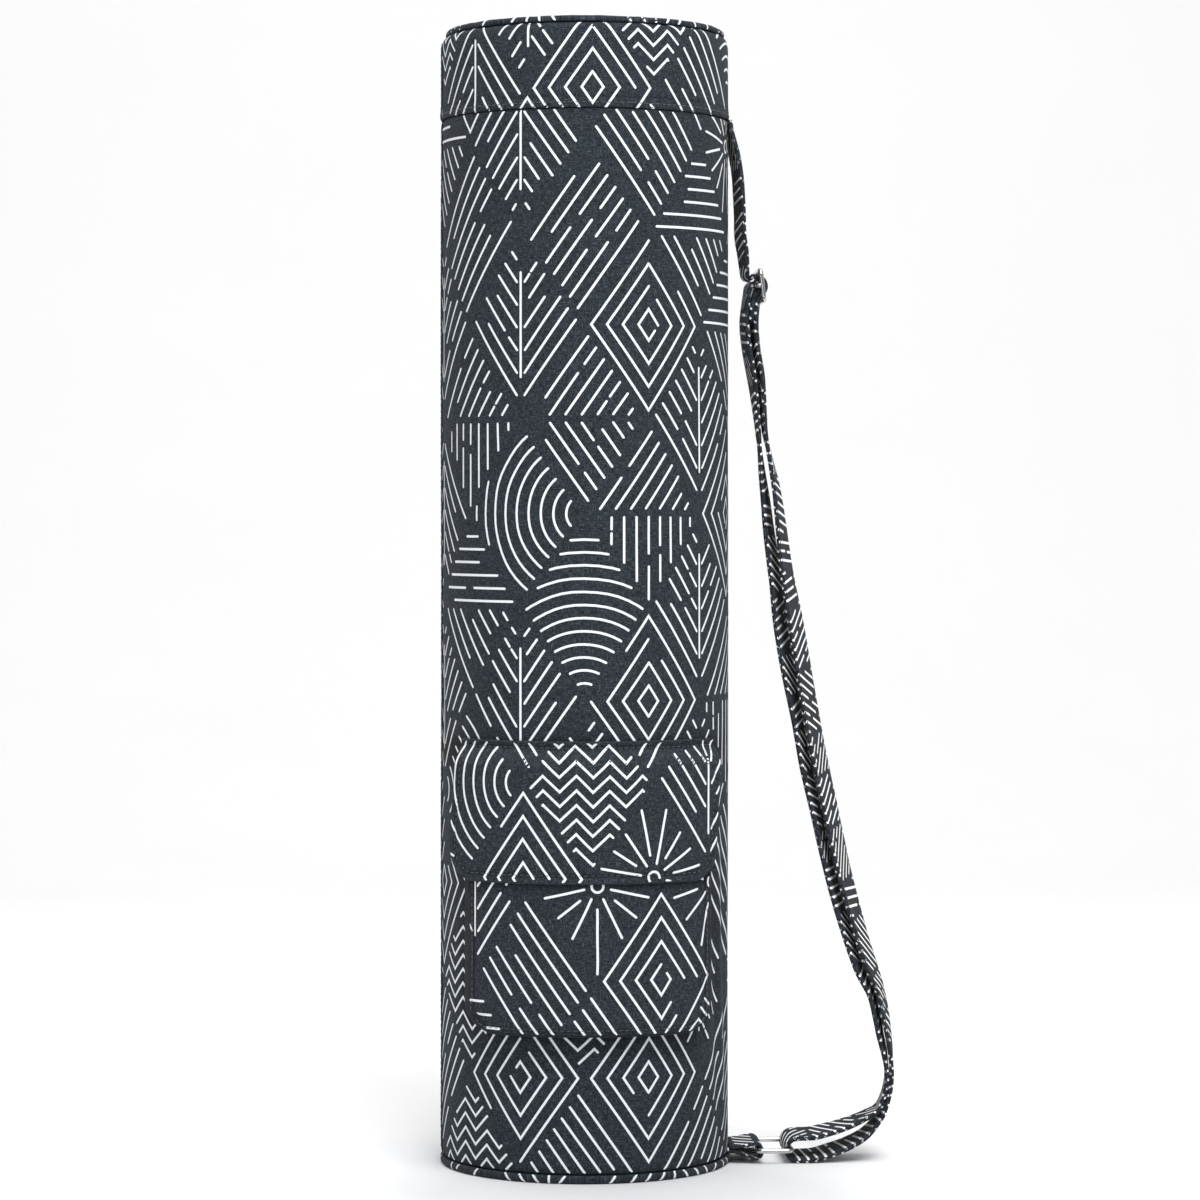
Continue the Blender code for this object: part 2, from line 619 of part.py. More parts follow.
def strap_stations():
    """Middle point and width direction of the strap at each step of its route"""
    slider = slider_frame()
    loop = ring_places()[2]
    lift = BAG_RADIUS + GAP + STRAP_THICKNESS / 2
    full_reach = BAG_RADIUS + STRAP_REACH
    floor = FLOOR_GAP + STRAP_THICKNESS / 2

    rise = LID_SEAM_HEIGHT - GAP - slider["top"].y
    away = slider["top"].x - slider["close"] - lift
    top_rows = [(lift + away * row["reach"], slider["top"].y + rise * row["height"], row["twist"])
                for row in STRAP_TOP_ROWS]

    hang_rows = []
    for row in STRAP_HANG_ROWS:
        height = STRAP_BEND_HEIGHT + row["height"] * (LID_SEAM_HEIGHT - STRAP_BEND_HEIGHT)
        spacing = row["layers"] * slider["pitch"] + row["spread"] * STRAP_WIDTH
        hang_rows.append((BAG_RADIUS + row["reach"] * STRAP_REACH, height, row["twist"], spacing))
    for row in STRAP_FLOOR_ROWS:
        height = floor + row["height"] * (STRAP_BEND_HEIGHT - floor)
        spacing = row["layers"] * slider["pitch"] + row["spread"] * STRAP_WIDTH
        hang_rows.append((full_reach - row["back"] * (full_reach - loop.x), height, row["twist"], spacing))
    hang_rows.append((loop.x, loop.y - STRAP_LOOP_RADIUS, 0.0, 2 * STRAP_LOOP_RADIUS))

    start = Vector(top_rows[-1][:2])
    first = Vector(hang_rows[0][:2])
    sliding = belt([(start, 0.0, 1), (slider["fold"], SLIDER_FOLD_RADIUS, 1),
                    (slider["middle"], slider["close"] + slider["pitch"], -1),
                    (slider["bottom"], slider["close"], 1), (first, 0.0, 1)])
    top_way = (sliding[1] - sliding[0]).normalized()
    hang_way = (sliding[-1] - sliding[-2]).normalized()
    top_curve = smooth_rows(top_rows, (0.0, -1.0), tuple(top_way), STRAP_STEP)
    hang_curve = smooth_rows(hang_rows, tuple(hang_way), (-1.0, 0.0), STRAP_STEP)

    outer = []
    inner = []
    for index, (x, z, twist, spacing) in enumerate(hang_curve):
        low = hang_curve[max(index - 1, 0)]
        high = hang_curve[min(index + 1, len(hang_curve) - 1)]
        way = Vector((high[0] - low[0], high[1] - low[1])).normalized()
        if index == 0:
            way = hang_way
        if index == len(hang_curve) - 1:
            way = Vector((-1.0, 0.0))
        normal = Vector((-way.y, way.x))
        turn = math.radians(twist)
        width = ACROSS * math.cos(turn) + Vector((normal.x, 0.0, normal.y)) * math.sin(turn)
        outer.append((Vector((x, z)), width))
        inner.append((Vector((x, z)) - normal * spacing / math.cos(turn), width))

    last = inner[0][0]
    tail_end = (first + last) / 2
    sewn = belt([(last, 0.0, -1), (slider["bottom"], slider["close"] + 2 * slider["pitch"], -1),
                 (slider["middle"], slider["close"], -1),
                 (slider["bottom"], slider["close"] + slider["pitch"], 1), (tail_end, 0.0, 1)])

    loop_steps = 9
    loop_points = []
    for step in range(1, loop_steps):
        angle = -math.pi / 2 - math.pi * step / loop_steps
        loop_points.append(loop + STRAP_LOOP_RADIUS * Vector((math.cos(angle), math.sin(angle))))

    stations = []
    for x, z, twist in top_curve:
        turn = math.radians(twist)
        stations.append((Vector((x, z)), ACROSS * math.cos(turn) + Vector((1.0, 0.0, 0.0)) * math.sin(turn)))
    stations += [(point, ACROSS) for point in sliding[1:-1]]
    stations += outer
    stations += [(point, ACROSS) for point in loop_points]
    stations += inner[::-1]
    stations += [(point, ACROSS) for point in sewn[1:]]
    return stations


def make_strap(collection, root, cloth):
    """The strap: a flat strip along its route, wrapped to the bag wall where it leaves the lid seam"""
    stations = strap_stations()
    columns = 4
    sewn_height = LID_SEAM_HEIGHT - GAP
    wrapped = STRAP_WIDTH

    def strap_place(column, row):
        (x, z), width = stations[row]
        across = STRAP_WIDTH * (column / columns - 0.5)
        hug = max(0.0, 1.0 - (sewn_height - z) / wrapped) if row < len(stations) // 4 else 0.0
        recess = BAG_RADIUS - math.sqrt(BAG_RADIUS * BAG_RADIUS - across * across)
        return Vector((x - recess * hug * hug, 0.0, z)) + width * across

    bent_sheet("shoulder_strap", columns, len(stations) - 1, strap_place, STRAP_THICKNESS,
               collection, root, cloth)


def make_slider(collection, cutters, root, metal):
    """The slider: a wire frame with a middle bar that is cranked back from its plane"""
    slider = slider_frame()
    half_width = STRAP_WIDTH / 2 + FITTING_SLACK + SLIDER_WIRE / 2
    frame = wire("strap_slider", rectangle(slider["bar_pitch"], half_width, RING_CORNER), True,
                 SLIDER_WIRE, collection, root, metal)
    bar = wire("slider_bar_join", [(0.0, half_width, 0.0), (0.0, half_width, -SLIDER_BAR_SET),
                                   (0.0, -half_width, -SLIDER_BAR_SET), (0.0, -half_width, 0.0)],
               False, SLIDER_WIRE * SLIDER_BAR_SHARE, cutters, root)
    for item in (frame, bar):
        item.location = (slider["centre"].x, 0.0, slider["centre"].y)
        item.rotation_euler.y = math.pi / 2 - SLIDER_LEAN
    cut_or_join(as_mesh(frame, collection, root), as_mesh(bar, cutters, root), "UNION")


def make_ring(collection, root, metal):
    """The rectangular ring that joins the strap to its tab, lying level"""
    near, far, _ = ring_places()
    half_width = STRAP_WIDTH / 2 + FITTING_SLACK + RING_WIRE / 2
    ring = wire("lower_ring", rectangle(RING_PITCH / 2, half_width, RING_CORNER), True,
                RING_WIRE, collection, root, metal)
    middle = (near + far) / 2
    ring.location = (middle.x, 0.0, middle.y)


def make_tab(collection, root, cloth):
    """The tab: a strip doubled round the ring, both ends sewn to the bag wall"""
    near = ring_places()[0]
    slack = TAB_LOOP_RADIUS - TAB_THICKNESS / 2 - GAP - RING_WIRE / 2
    sag = min(TAB_SAG, slack)
    centre = near - Vector((math.sqrt(slack * slack - sag * sag), sag))
    wall = BAG_RADIUS + BASE_WELT_PROUD + GAP
    pitch = TAB_THICKNESS + GAP
    upper = Vector((wall, TAB_HEIGHT + pitch / 2))
    lower = Vector((wall, TAB_HEIGHT - pitch / 2))
    lead = Vector((RING_DISTANCE * 0.12, 0.0))
    points = [upper] + belt([(upper + lead, 0.0, -1), (centre, TAB_LOOP_RADIUS, -1),
                             (lower + lead, 0.0, -1)]) + [lower]
    columns = 4

    def tab_place(column, row):
        point = points[row]
        across = TAB_WIDTH * (column / columns - 0.5)
        recess = wall - math.sqrt(wall * wall - across * across)
        sewn = 1.0 if row in (0, len(points) - 1) else 0.0
        return Vector((point.x - recess * sewn, across, point.y))

    bent_sheet("ring_tab", columns, len(points) - 1, tab_place, TAB_THICKNESS, collection, root, cloth)


def main():
    """Build the bag"""
    clear_scene()
    parts = new_collection("yoga_mat_bag")
    cutters = new_collection("cutters")
    root = bpy.data.objects.new("bag_frame", None)
    parts.objects.link(root)

    canvas = principled("printed_canvas", (0.045, 0.058, 0.068), 0.85)
    strap_cloth = principled("printed_strap_canvas", (0.045, 0.058, 0.068), 0.85)
    tape = principled("zip_tape", (0.012, 0.013, 0.015), 0.6)
    metal = principled("nickel_wire", (0.78, 0.76, 0.74), 0.16, 1.0)

    make_tube(parts, cutters, root, canvas)
    make_zip(parts, cutters, root, tape)
    make_pouch(parts, root, canvas)
    make_flap(parts, root, canvas)
    make_strap(parts, root, strap_cloth)
    make_slider(parts, cutters, root, metal)
    make_ring(parts, root, metal)
    make_tab(parts, root, strap_cloth)


main()
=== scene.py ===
import cmath
import math
import random

import bpy
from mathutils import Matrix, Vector, noise


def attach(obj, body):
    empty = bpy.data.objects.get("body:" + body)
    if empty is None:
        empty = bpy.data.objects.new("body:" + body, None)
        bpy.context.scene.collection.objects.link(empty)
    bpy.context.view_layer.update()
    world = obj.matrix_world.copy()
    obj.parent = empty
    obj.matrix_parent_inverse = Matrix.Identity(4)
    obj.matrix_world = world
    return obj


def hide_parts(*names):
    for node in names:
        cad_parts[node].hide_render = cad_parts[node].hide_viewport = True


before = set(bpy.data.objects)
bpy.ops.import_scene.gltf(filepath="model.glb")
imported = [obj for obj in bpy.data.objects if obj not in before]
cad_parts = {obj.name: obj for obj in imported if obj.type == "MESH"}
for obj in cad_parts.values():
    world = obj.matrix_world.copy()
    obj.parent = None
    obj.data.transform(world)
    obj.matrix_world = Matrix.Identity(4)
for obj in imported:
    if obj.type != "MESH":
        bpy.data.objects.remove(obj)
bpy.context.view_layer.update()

MM = 0.001
TAU = 2 * math.pi

# Sizes of the bag, in millimetres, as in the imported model
RADIUS = 85.0
SLIT_MIDDLE = math.radians(-104)
SLIT_HALF = math.radians(3.05)
POUCH_FACE, POUCH_SPREAD = 98.0, 97.0
POUCH_HALF = 69.7
POUCH_LOW, POUCH_MOUTH, POUCH_CORNER = 86.0, 238.0, 15.0
GUSSET_FOOT, GUSSET_TIP = (71.9, 85.1), (68.7, 86.1)
GUSSET_WIDE, GUSSET_LONG = 10.6, 430.0
FLAP_TOP, FLAP_LOW, FLAP_CORNER = 253.0, 173.5, 19.0
FLAP_HALF, FLAP_SHIFT = 87.0, 5.2
STRAP_HALF, STRAP_THICK, TAB_THICK = 19.0, 2.6, 2.0
STITCH_INSET, POUCH_SEWING, FLAP_SEWING, FLAP_TOP_SEWING = 2.9, 3.4, 4.4, 3.2

# The strap's middle line from the lid seam down, round the ring and back up. Each row has four whole numbers:
# x and z in tenths of a millimetre, then x and z of the width direction in thousandths
STRAP_TABLE = """
866 6167 0 0  869 6123 -9 0  879 6060 -17 0  892 5989 -35 0  902 5918 -41 0  910 5847 -44 0  917 5740 -49 0
922 5634 -52 0  926 5491 -52 0  942 5385 -44 0  953 5262 0 0  955 5255 0 0  960 5249 0 0  966 5245 0 0  974 5244 0 0
1000 5245 0 0  1023 5242 0 0  1043 5230 0 0  1057 5211 0 0  1062 5188 0 0  1059 5165 0 0  1047 5145 0 0  1026 5122 0 0
1021 5114 0 0  1018 5104 0 0  1007 4972 0 0  1012 4842 -17 -2  1027 4752 -12 -2  1044 4661 0 0  1052 4585 12 1
1058 4509 26 2  1064 4415 42 4  1073 4322 60 9  1091 4229 89 18  1111 4136 119 25  1127 4057 143 28  1142 3978 163 26
1155 3882 182 23  1166 3786 199 23  1177 3690 213 26  1187 3610 223 28  1197 3531 230 31  1209 3452 239 38
1223 3371 251 45  1238 3290 265 49  1253 3209 277 48  1270 3106 284 46  1287 3002 287 47  1304 2899 288 48
1319 2806 289 50  1335 2714 288 51  1352 2622 288 51  1366 2541 288 52  1381 2460 287 54  1397 2379 286 59
1421 2263 287 62  1447 2147 286 62  1469 2044 283 60  1490 1941 280 59  1513 1838 275 61  1536 1735 268 64
1556 1655 259 68  1578 1576 249 69  1600 1497 241 66  1624 1410 237 66  1649 1322 232 70  1675 1240 224 74
1703 1158 212 76  1731 1082 191 70  1758 1006 176 47  1788 870 170 33  1809 746 146 21  1824 622 121 11
1830 520 105 -2  1820 407 111 -23  1783 290 89 -35  1755 243 62 -49  1673 151 27 -34  1563 87 7 -16  1443 43 0 0
1366 22 0 0  1250 17 0 0  1228 21 0 0  1209 32 0 0  1195 49 0 0  1187 70 0 0  1187 92 0 0  1195 113 0 0  1209 130 0 0
1228 141 0 0  1250 145 0 0  1349 149 0 0  1404 161 0 0  1515 191 7 -16  1611 226 27 -34  1713 276 62 -49
1750 303 89 -35  1790 413 111 -23  1800 521 105 -2  1788 618 121 11  1761 739 146 21  1740 861 170 33  1709 993 176 47
1678 1063 191 70  1643 1137 212 76  1613 1220 224 74  1585 1303 232 70  1557 1391 237 66  1531 1479 241 66
1510 1558 249 69  1489 1638 259 68  1470 1719 268 64  1446 1823 275 61  1423 1926 280 59  1401 2030 283 60
1378 2132 286 62  1350 2248 287 62  1324 2364 286 59  1309 2446 287 54  1295 2528 288 52  1281 2609 288 51
1262 2701 288 51  1242 2793 289 50  1223 2885 288 48  1203 2989 287 47  1185 3092 284 46  1168 3195 277 48
1157 3275 265 49  1147 3358 251 45  1137 3441 239 38  1125 3522 230 31  1114 3601 223 28  1103 3681 213 26
1091 3777 199 23  1081 3873 182 23  1070 3966 163 26  1060 4044 143 28  1051 4123 119 25  1042 4219 89 18
1033 4317 60 9  1023 4412 42 4  1013 4506 26 2  1003 4581 12 1  992 4654 0 0  977 4743 -12 -2  962 4838 -17 -2
947 4977 0 0  960 5111 0 0  961 5114 0 0  972 5190 0 0  976 5202 0 0  985 5211 0 0  997 5216 0 0  1010 5215 0 0
1021 5210 0 0  1030 5200 0 0  1033 5188 0 0  1032 5175 0 0  1025 5164 0 0  1005 5142 0 0  994 5126 0 0  989 5107 0 0
977 4975 0 0
"""
WHOLE = [int(word) for word in STRAP_TABLE.split()]
STRAP_ROWS = [(x / 10, z / 10, wx / 1000, wz / 1000) for x, z, wx, wz in zip(*[iter(WHOLE)] * 4)]
TAB_ROWS = ((86.2, 9.5), (88.1, 9.5), (99.2, 11.4), (101.0, 11.4), (102.5, 10.6), (103.7, 9.3), (104.2, 7.6),
            (104.0, 5.9), (103.2, 4.4), (101.8, 3.3), (100.1, 2.9), (98.3, 3.2), (88.1, 7.2), (86.2, 7.2))

# The printed pattern
CELL_WIDTH, CELL_HEIGHT = 76.0, 108.0
CELL_CORNERS = (CELL_WIDTH / 2, 0.5j * CELL_HEIGHT, -CELL_WIDTH / 2, -0.5j * CELL_HEIGHT)
LINE_PITCH, LINE_WIDTH = 7.5, 1.42
CELL_MARGIN = 2.5


def on_tube(radius, angle, height):
    """A point at an angle from the front, positive towards the strap, from millimetres to metres"""
    return Vector((radius * math.sin(angle), -radius * math.cos(angle), height)) * MM


def near(distance, reach):
    """1 at a seam, falling to 0 away from it"""
    return math.exp(-max(distance, 0.0) / reach)


def bell(distance, width):
    """1 at a line, falling to 0 on both sides of it"""
    return math.exp(-(distance / width) ** 2)


def placed(name, data):
    """A new object in the scene"""
    item = bpy.data.objects.new(name, data)
    bpy.context.scene.collection.objects.link(item)
    return item


def ripple(x, y, z, size, seed=0.0):
    """Smooth noise between about -1 and 1 with bumps of a given size in millimetres"""
    return noise.noise(Vector((x / size + seed, y / size - seed, z / size + 2.3 * seed)))


def around(angle, height, size, seed=0.0):
    """The same noise over the tube, with no jump where it closes"""
    return ripple(RADIUS * math.sin(angle), RADIUS * math.cos(angle), height, size, seed)


# Materials


class Finish:
    """A Principled material, and the nodes that give it colour, bump and roughness"""

    def __init__(self, name, **values):
        self.material = bpy.data.materials.new(name)
        self.material.use_nodes = True
        self.tree = self.material.node_tree
        self.shader = self.tree.nodes["Principled BSDF"]
        for key, value in values.items():
            self.shader.inputs[key.replace("_", " ")].default_value = value

    def node(self, kind, inputs=(), **settings):
        """Add a node, set its fields, and set or link its inputs"""
        node = self.tree.nodes.new("ShaderNode" + kind)
        for key, value in settings.items():
            setattr(node, key, value)
        for key, value in dict(inputs).items():
            if isinstance(value, bpy.types.NodeSocket):
                self.tree.links.new(value, node.inputs[key])
            else:
                node.inputs[key].default_value = value
        return node

    def maths(self, operation, *values):
        """A Math node on sockets or numbers"""
        return self.node("Math", enumerate(values), operation=operation).outputs[0]

    def times(self, first, second):
        """Product of two sockets or numbers"""
        return self.maths("MULTIPLY", first, second)

    def plus(self, first, second):
        """Sum of two sockets or numbers"""
        return self.maths("ADD", first, second)

    def on_cloth(self, warp=1.0, weft=1.0):
        """Places on the cloth in millimetres, stretched for streaks along the threads"""
        place = self.node("UVMap", uv_map="cloth").outputs["UV"]
        return self.node("Mapping", {"Vector": place, "Scale": (1000 * warp, 1000 * weft, 1.0)}).outputs["Vector"]

    def weave(self, pitch):
        """Height of a plain weave of a given thread pitch in millimetres, 0 to 1"""
        split = self.node("SeparateXYZ", {"Vector": self.on_cloth()})
        waves = [self.maths("SINE", self.times(split.outputs[axis], TAU / pitch)) for axis in (0, 1)]
        return self.plus(self.times(self.times(*waves), 0.5), 0.5)

    def streaks(self, warp, weft, detail=3.0):
        """Noise drawn out along the threads"""
        return self.node("TexNoise", {"Vector": self.on_cloth(warp, weft), "Scale": 1.0, "Detail": detail,
                                      "Roughness": 0.62}).outputs["Fac"]

    def slubs(self, fine, long):
        """The thicker threads of both directions"""
        return self.maths("MAXIMUM", self.streaks(fine, long), self.streaks(long, fine))

    def grain(self, scale, detail=2.0, **more):
        """Noise in the object's own space"""
        place = self.node("TexCoord").outputs["Object"]
        return self.node("TexNoise", {"Vector": place, "Scale": scale, "Detail": detail, **more}).outputs["Fac"]

    def ramp(self, factor, *stops):
        """Colour ramp with (position, colour) stops"""
        node = self.node("ValToRGB", {"Fac": factor})
        while len(node.color_ramp.elements) < len(stops):
            node.color_ramp.elements.new(0.5)
        for element, (position, colour) in zip(node.color_ramp.elements, stops):
            element.position = position
            element.color = (*colour, 1.0)
        return node.outputs["Color"]

    def mix(self, factor, first, second, blend="MIX"):
        """Mix two colours, each a socket or three numbers"""
        first, second = [value if isinstance(value, bpy.types.NodeSocket) else (*value, 1.0) for value in (first, second)]
        return self.node("Mix", {0: factor, 6: first, 7: second}, data_type="RGBA", blend_type=blend).outputs[2]

    def done(self, colour, height, strength, distance, roughness=None):
        """Link colour, bump and roughness to the shader, and give the material"""
        bump = self.node("Bump", {"Height": height, "Strength": strength, "Distance": distance})
        for key, socket in (("Base Color", colour), ("Normal", bump.outputs["Normal"]), ("Roughness", roughness)):
            if socket:
                self.tree.links.new(socket, self.shader.inputs[key])
        return self.material


def canvas_material(name, dark, light, sheen):
    """Printed cotton canvas: slubbed plain weave with a soft, slightly faded surface, paler where worn and darkened by
    painted shade
    """
    it = Finish(name, Specular_IOR_Level=0.15, Sheen_Weight=sheen, Sheen_Roughness=0.45)
    threads, slubs = it.weave(0.80), it.slubs(0.30, 1.7)
    between = tuple(0.65 * a + 0.35 * b for a, b in zip(dark, light))
    colour = it.ramp(slubs, (0.44, dark), (0.60, between), (0.74, light))
    colour = it.mix(it.times(threads, 0.62), colour, tuple(0.6 * c for c in dark))
    cloudy = it.ramp(it.streaks(0.045, 0.045, 4.0), (0.30, (0.80, 0.80, 0.80)), (0.70, (1.18, 1.18, 1.18)))
    colour = it.mix(0.55, colour, cloudy, "MULTIPLY")
    # The point attribute read here pales the cloth with wear where it is positive; where it is negative it is painted
    # shade, darkening seams, stitch grooves, the pocket's side and the cloth beside and under the pocket and the flap
    wear = it.node("Attribute", attribute_name="wear").outputs["Fac"]
    colour = it.mix(it.times(it.maths("MAXIMUM", wear, 0.0), 0.30), colour, light)
    colour = it.mix(it.times(it.maths("MAXIMUM", it.times(wear, -1.0), 0.0), 0.8), colour, tuple(0.35 * c for c in dark))
    return it.done(colour, it.plus(threads, it.times(slubs, 1.4)), 0.65, 0.00026, it.plus(it.times(slubs, 0.18), 0.74))


def ink_material(name, fresh, usual, worn):
    """Off-white print that sits in the weave, broken a little by its threads"""
    it = Finish(name, Specular_IOR_Level=0.25, Sheen_Weight=0.1)
    threads, slubs = it.weave(0.80), it.slubs(0.2, 2.1)
    colour = it.ramp(slubs, (0.35, fresh), (0.66, usual), (0.86, worn))
    colour = it.mix(it.times(threads, 0.16), colour, (0.45, 0.47, 0.48))
    return it.done(colour, it.plus(threads, slubs), 0.45, 0.0002, it.plus(it.times(slubs, 0.2), 0.62))


def thread_material(name, dark, light):
    """Twisted sewing thread or zip tape"""
    it = Finish(name, Specular_IOR_Level=0.35, Sheen_Weight=0.25)
    twist = it.streaks(1.2, 3.2)
    return it.done(it.ramp(twist, (0.30, dark), (0.70, light)), it.plus(it.weave(0.5), twist), 0.5, 0.00015,
                   it.plus(it.times(twist, 0.3), 0.45))


def metal_material():
    """Nickel-plated wire: bright, with faint drawing marks and handling haze"""
    it = Finish("nickel_plate", Metallic=1.0, Coat_Weight=0.15, Coat_Roughness=0.08)
    haze = it.grain(160.0, 4.0, Roughness=0.6)
    return it.done(it.ramp(haze, (0.3, (0.44, 0.43, 0.42)), (0.7, (0.64, 0.63, 0.62))), it.grain(1500.0), 0.12, 0.00005,
                   it.plus(it.times(haze, 0.16), 0.09))


def nylon_material():
    """Moulded nylon coil"""
    it = Finish("nylon_coil", Specular_IOR_Level=0.5)
    grain = it.grain(900.0)
    return it.done(it.ramp(grain, (0.3, (0.012, 0.013, 0.015)), (0.7, (0.022, 0.024, 0.027))), grain, 0.15, 0.0001,
                   it.plus(it.times(grain, 0.2), 0.28))


def stage_material():
    """Pale studio paper, with a painted shadow that greys it just in front of the bag"""
    it = Finish("studio_paper_painted_shadow", Specular_IOR_Level=0.1)
    grain = it.grain(5.0)
    colour = it.ramp(grain, (0.3, (0.895, 0.895, 0.90)), (0.7, (0.905, 0.905, 0.91)))
    # Painted shadow: a grey pool on the paper round the bag's foot, centred a little in front of it
    place = it.node("TexCoord").outputs["Object"]
    far = it.node("VectorMath", {0: place, 1: (0.02, -0.13, 0.0)}, operation="DISTANCE").outputs["Value"]
    painted_floor_shadow = it.ramp(far, (0.0, (0.61, 0.62, 0.64)), (0.11, (0.67, 0.68, 0.695)), (0.19, (0.92, 0.925, 0.93)),
                    (0.27, (1.0, 1.0, 1.0)))
    return it.done(it.mix(1.0, colour, painted_floor_shadow, "MULTIPLY"), grain, 0.01, 0.0005, it.plus(grain, 0.4))


def flag_material():
    """Dark felt of the cards"""
    it = Finish("flag_cloth", Roughness=0.9, Specular_IOR_Level=0.1)
    nap = it.grain(60.0)
    return it.done(it.ramp(nap, (0.3, (0.010, 0.010, 0.010)), (0.7, (0.016, 0.016, 0.016))), nap, 0.1, 0.001)


canvas = canvas_material("slate_canvas", (0.0042, 0.0072, 0.0110), (0.112, 0.134, 0.162), 0.03)
strap_canvas = canvas_material("slate_strap_canvas", (0.0034, 0.0058, 0.0090), (0.078, 0.094, 0.116), 0.02)
ink = ink_material("white_print", (0.76, 0.78, 0.80), (0.64, 0.67, 0.70), (0.34, 0.37, 0.41))
# The strap's print is a lighter copy of the same white ink, brightened as painted highlight for the strap's faces,
# which the light meets at a glancing angle
strap_ink_painted_highlight = ink_material("strap_print_painted_highlight", (0.90, 0.91, 0.92), (0.86, 0.87, 0.89), (0.60, 0.63, 0.66))
thread = thread_material("slate_thread", (0.020, 0.024, 0.028), (0.060, 0.068, 0.076))
tape = thread_material("zip_tape", (0.010, 0.011, 0.013), (0.030, 0.032, 0.036))
nylon = nylon_material()
nickel = metal_material()


# Mesh building


class Cloth:
    """Points with their places on the cloth in metres, and faces"""

    def __init__(self):
        self.points, self.places, self.wear, self.faces = [], [], [], []

    def vert(self, point, place, wear=0.0):
        """Add a point and give its index"""
        self.points.append(point)
        self.places.append((place[0] * MM, place[1] * MM))
        self.wear.append(wear)
        return len(self.points) - 1

    def grid(self, rows, closed=False):
        """Quads between rows of indices"""
        for row, after in zip(rows, rows[1:]):
            count = len(row)
            for index in range(count if closed else count - 1):
                other = (index + 1) % count
                self.faces.append((row[index], row[other], after[other], after[index]))

    def tube(self, rings):
        """Quads round rings of indices, with closed ends"""
        self.grid(rings, closed=True)
        self.faces += [tuple(rings[0][::-1]), tuple(rings[-1])]

    def piece(self, name, material, slot, *nodes):
        """Make the object, riding on the bag"""
        mesh = bpy.data.meshes.new(name)
        mesh.from_pydata(self.points, [], self.faces)
        layer = mesh.uv_layers.new(name="cloth")
        for loop in mesh.loops:
            layer.data[loop.index].uv = self.places[loop.vertex_index]
        mesh.attributes.new("wear", "FLOAT", "POINT").data.foreach_set("value", self.wear)
        mesh.shade_smooth()
        mesh.materials.append(material)
        item = placed(name, mesh)
        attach(item, "root")
        if nodes:
            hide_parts(*nodes)
        return item


def border(grid):
    """The outermost entries of rows of equal length, once round"""
    return grid[0][:-1] + [line[-1] for line in grid[:-1]] + grid[-1][:0:-1] + [line[0] for line in grid[:0:-1]]


def shell(name, place, rows, columns, thickness, *nodes, painted_shade=lambda a, b: 0.0, material=canvas, slot="canvas"):
    """Cloth over rows of (height, left, right), with a back and a rounded rim a little paler with wear, darkened by
    painted shade where the given function asks
    """
    cloth = Cloth()
    flat = [[(left + (right - left) * column / columns, height) for column in range(columns + 1)]
            for height, left, right in rows]
    front = [[cloth.vert(place(a, b, 0.0), (a, b), -painted_shade(a, b)) for a, b in line] for line in flat]
    back = [[cloth.vert(place(a, b, -thickness), (a, b)) for a, b in line] for line in flat]
    cloth.grid(front)
    cloth.grid([line[::-1] for line in back])
    edge, outer, inner = border(flat), border(front), border(back)
    rim = []
    for before, (a, b), after in zip(edge[-1:] + edge, edge, edge[1:] + edge[:1]):
        out = 0.35 * thickness / (math.dist(before, after) or 1.0)
        a, b = a + (after[1] - before[1]) * out, b - (after[0] - before[0]) * out
        # The rim is a little paler with wear
        rim.append(cloth.vert(place(a, b, -thickness / 2), (a, b), 0.15))
    cloth.grid([inner + inner[:1], rim + rim[:1], outer + outer[:1]])
    return cloth.piece(name, material, slot, *nodes)


def turned(name, profile, push, node, steps=180):
    """A closed profile of (radius, height) turned about the axis, pushed about by push(angle, radius, height)"""
    cloth = Cloth()
    rows = []
    for radius, height in profile[1:-1]:
        row = []
        for step in range(steps):
            angle = TAU * step / steps
            shift = push(angle, radius, height)
            row.append(cloth.vert(on_tube(radius + shift[0], angle, height + shift[1]),
                                  (radius * math.sin(angle), radius * math.cos(angle))))
        rows.append(row)
    cloth.grid(rows[::-1], closed=True)
    for end, row, turn in ((profile[0], rows[0], 1), (profile[-1], rows[-1], -1)):
        middle = cloth.vert(Vector((0.0, 0.0, end[1] * MM)), (0.0, 0.0))
        for step in range(steps):
            pair = (row[step], row[(step + 1) % steps])
            cloth.faces.append((middle, *pair[::turn]))
    return cloth.piece(name, canvas, "canvas", node)


def rounded(points, rounds=2):
    """Cut the corners of a row of points"""
    for _ in range(rounds):
        fresh = [points[0]]
        for first, second in zip(points, points[1:]):
            fresh += [tuple(0.75 * a + 0.25 * b for a, b in zip(first, second)),
                      tuple(0.25 * a + 0.75 * b for a, b in zip(first, second))]
        points = fresh + [points[-1]]
    return points


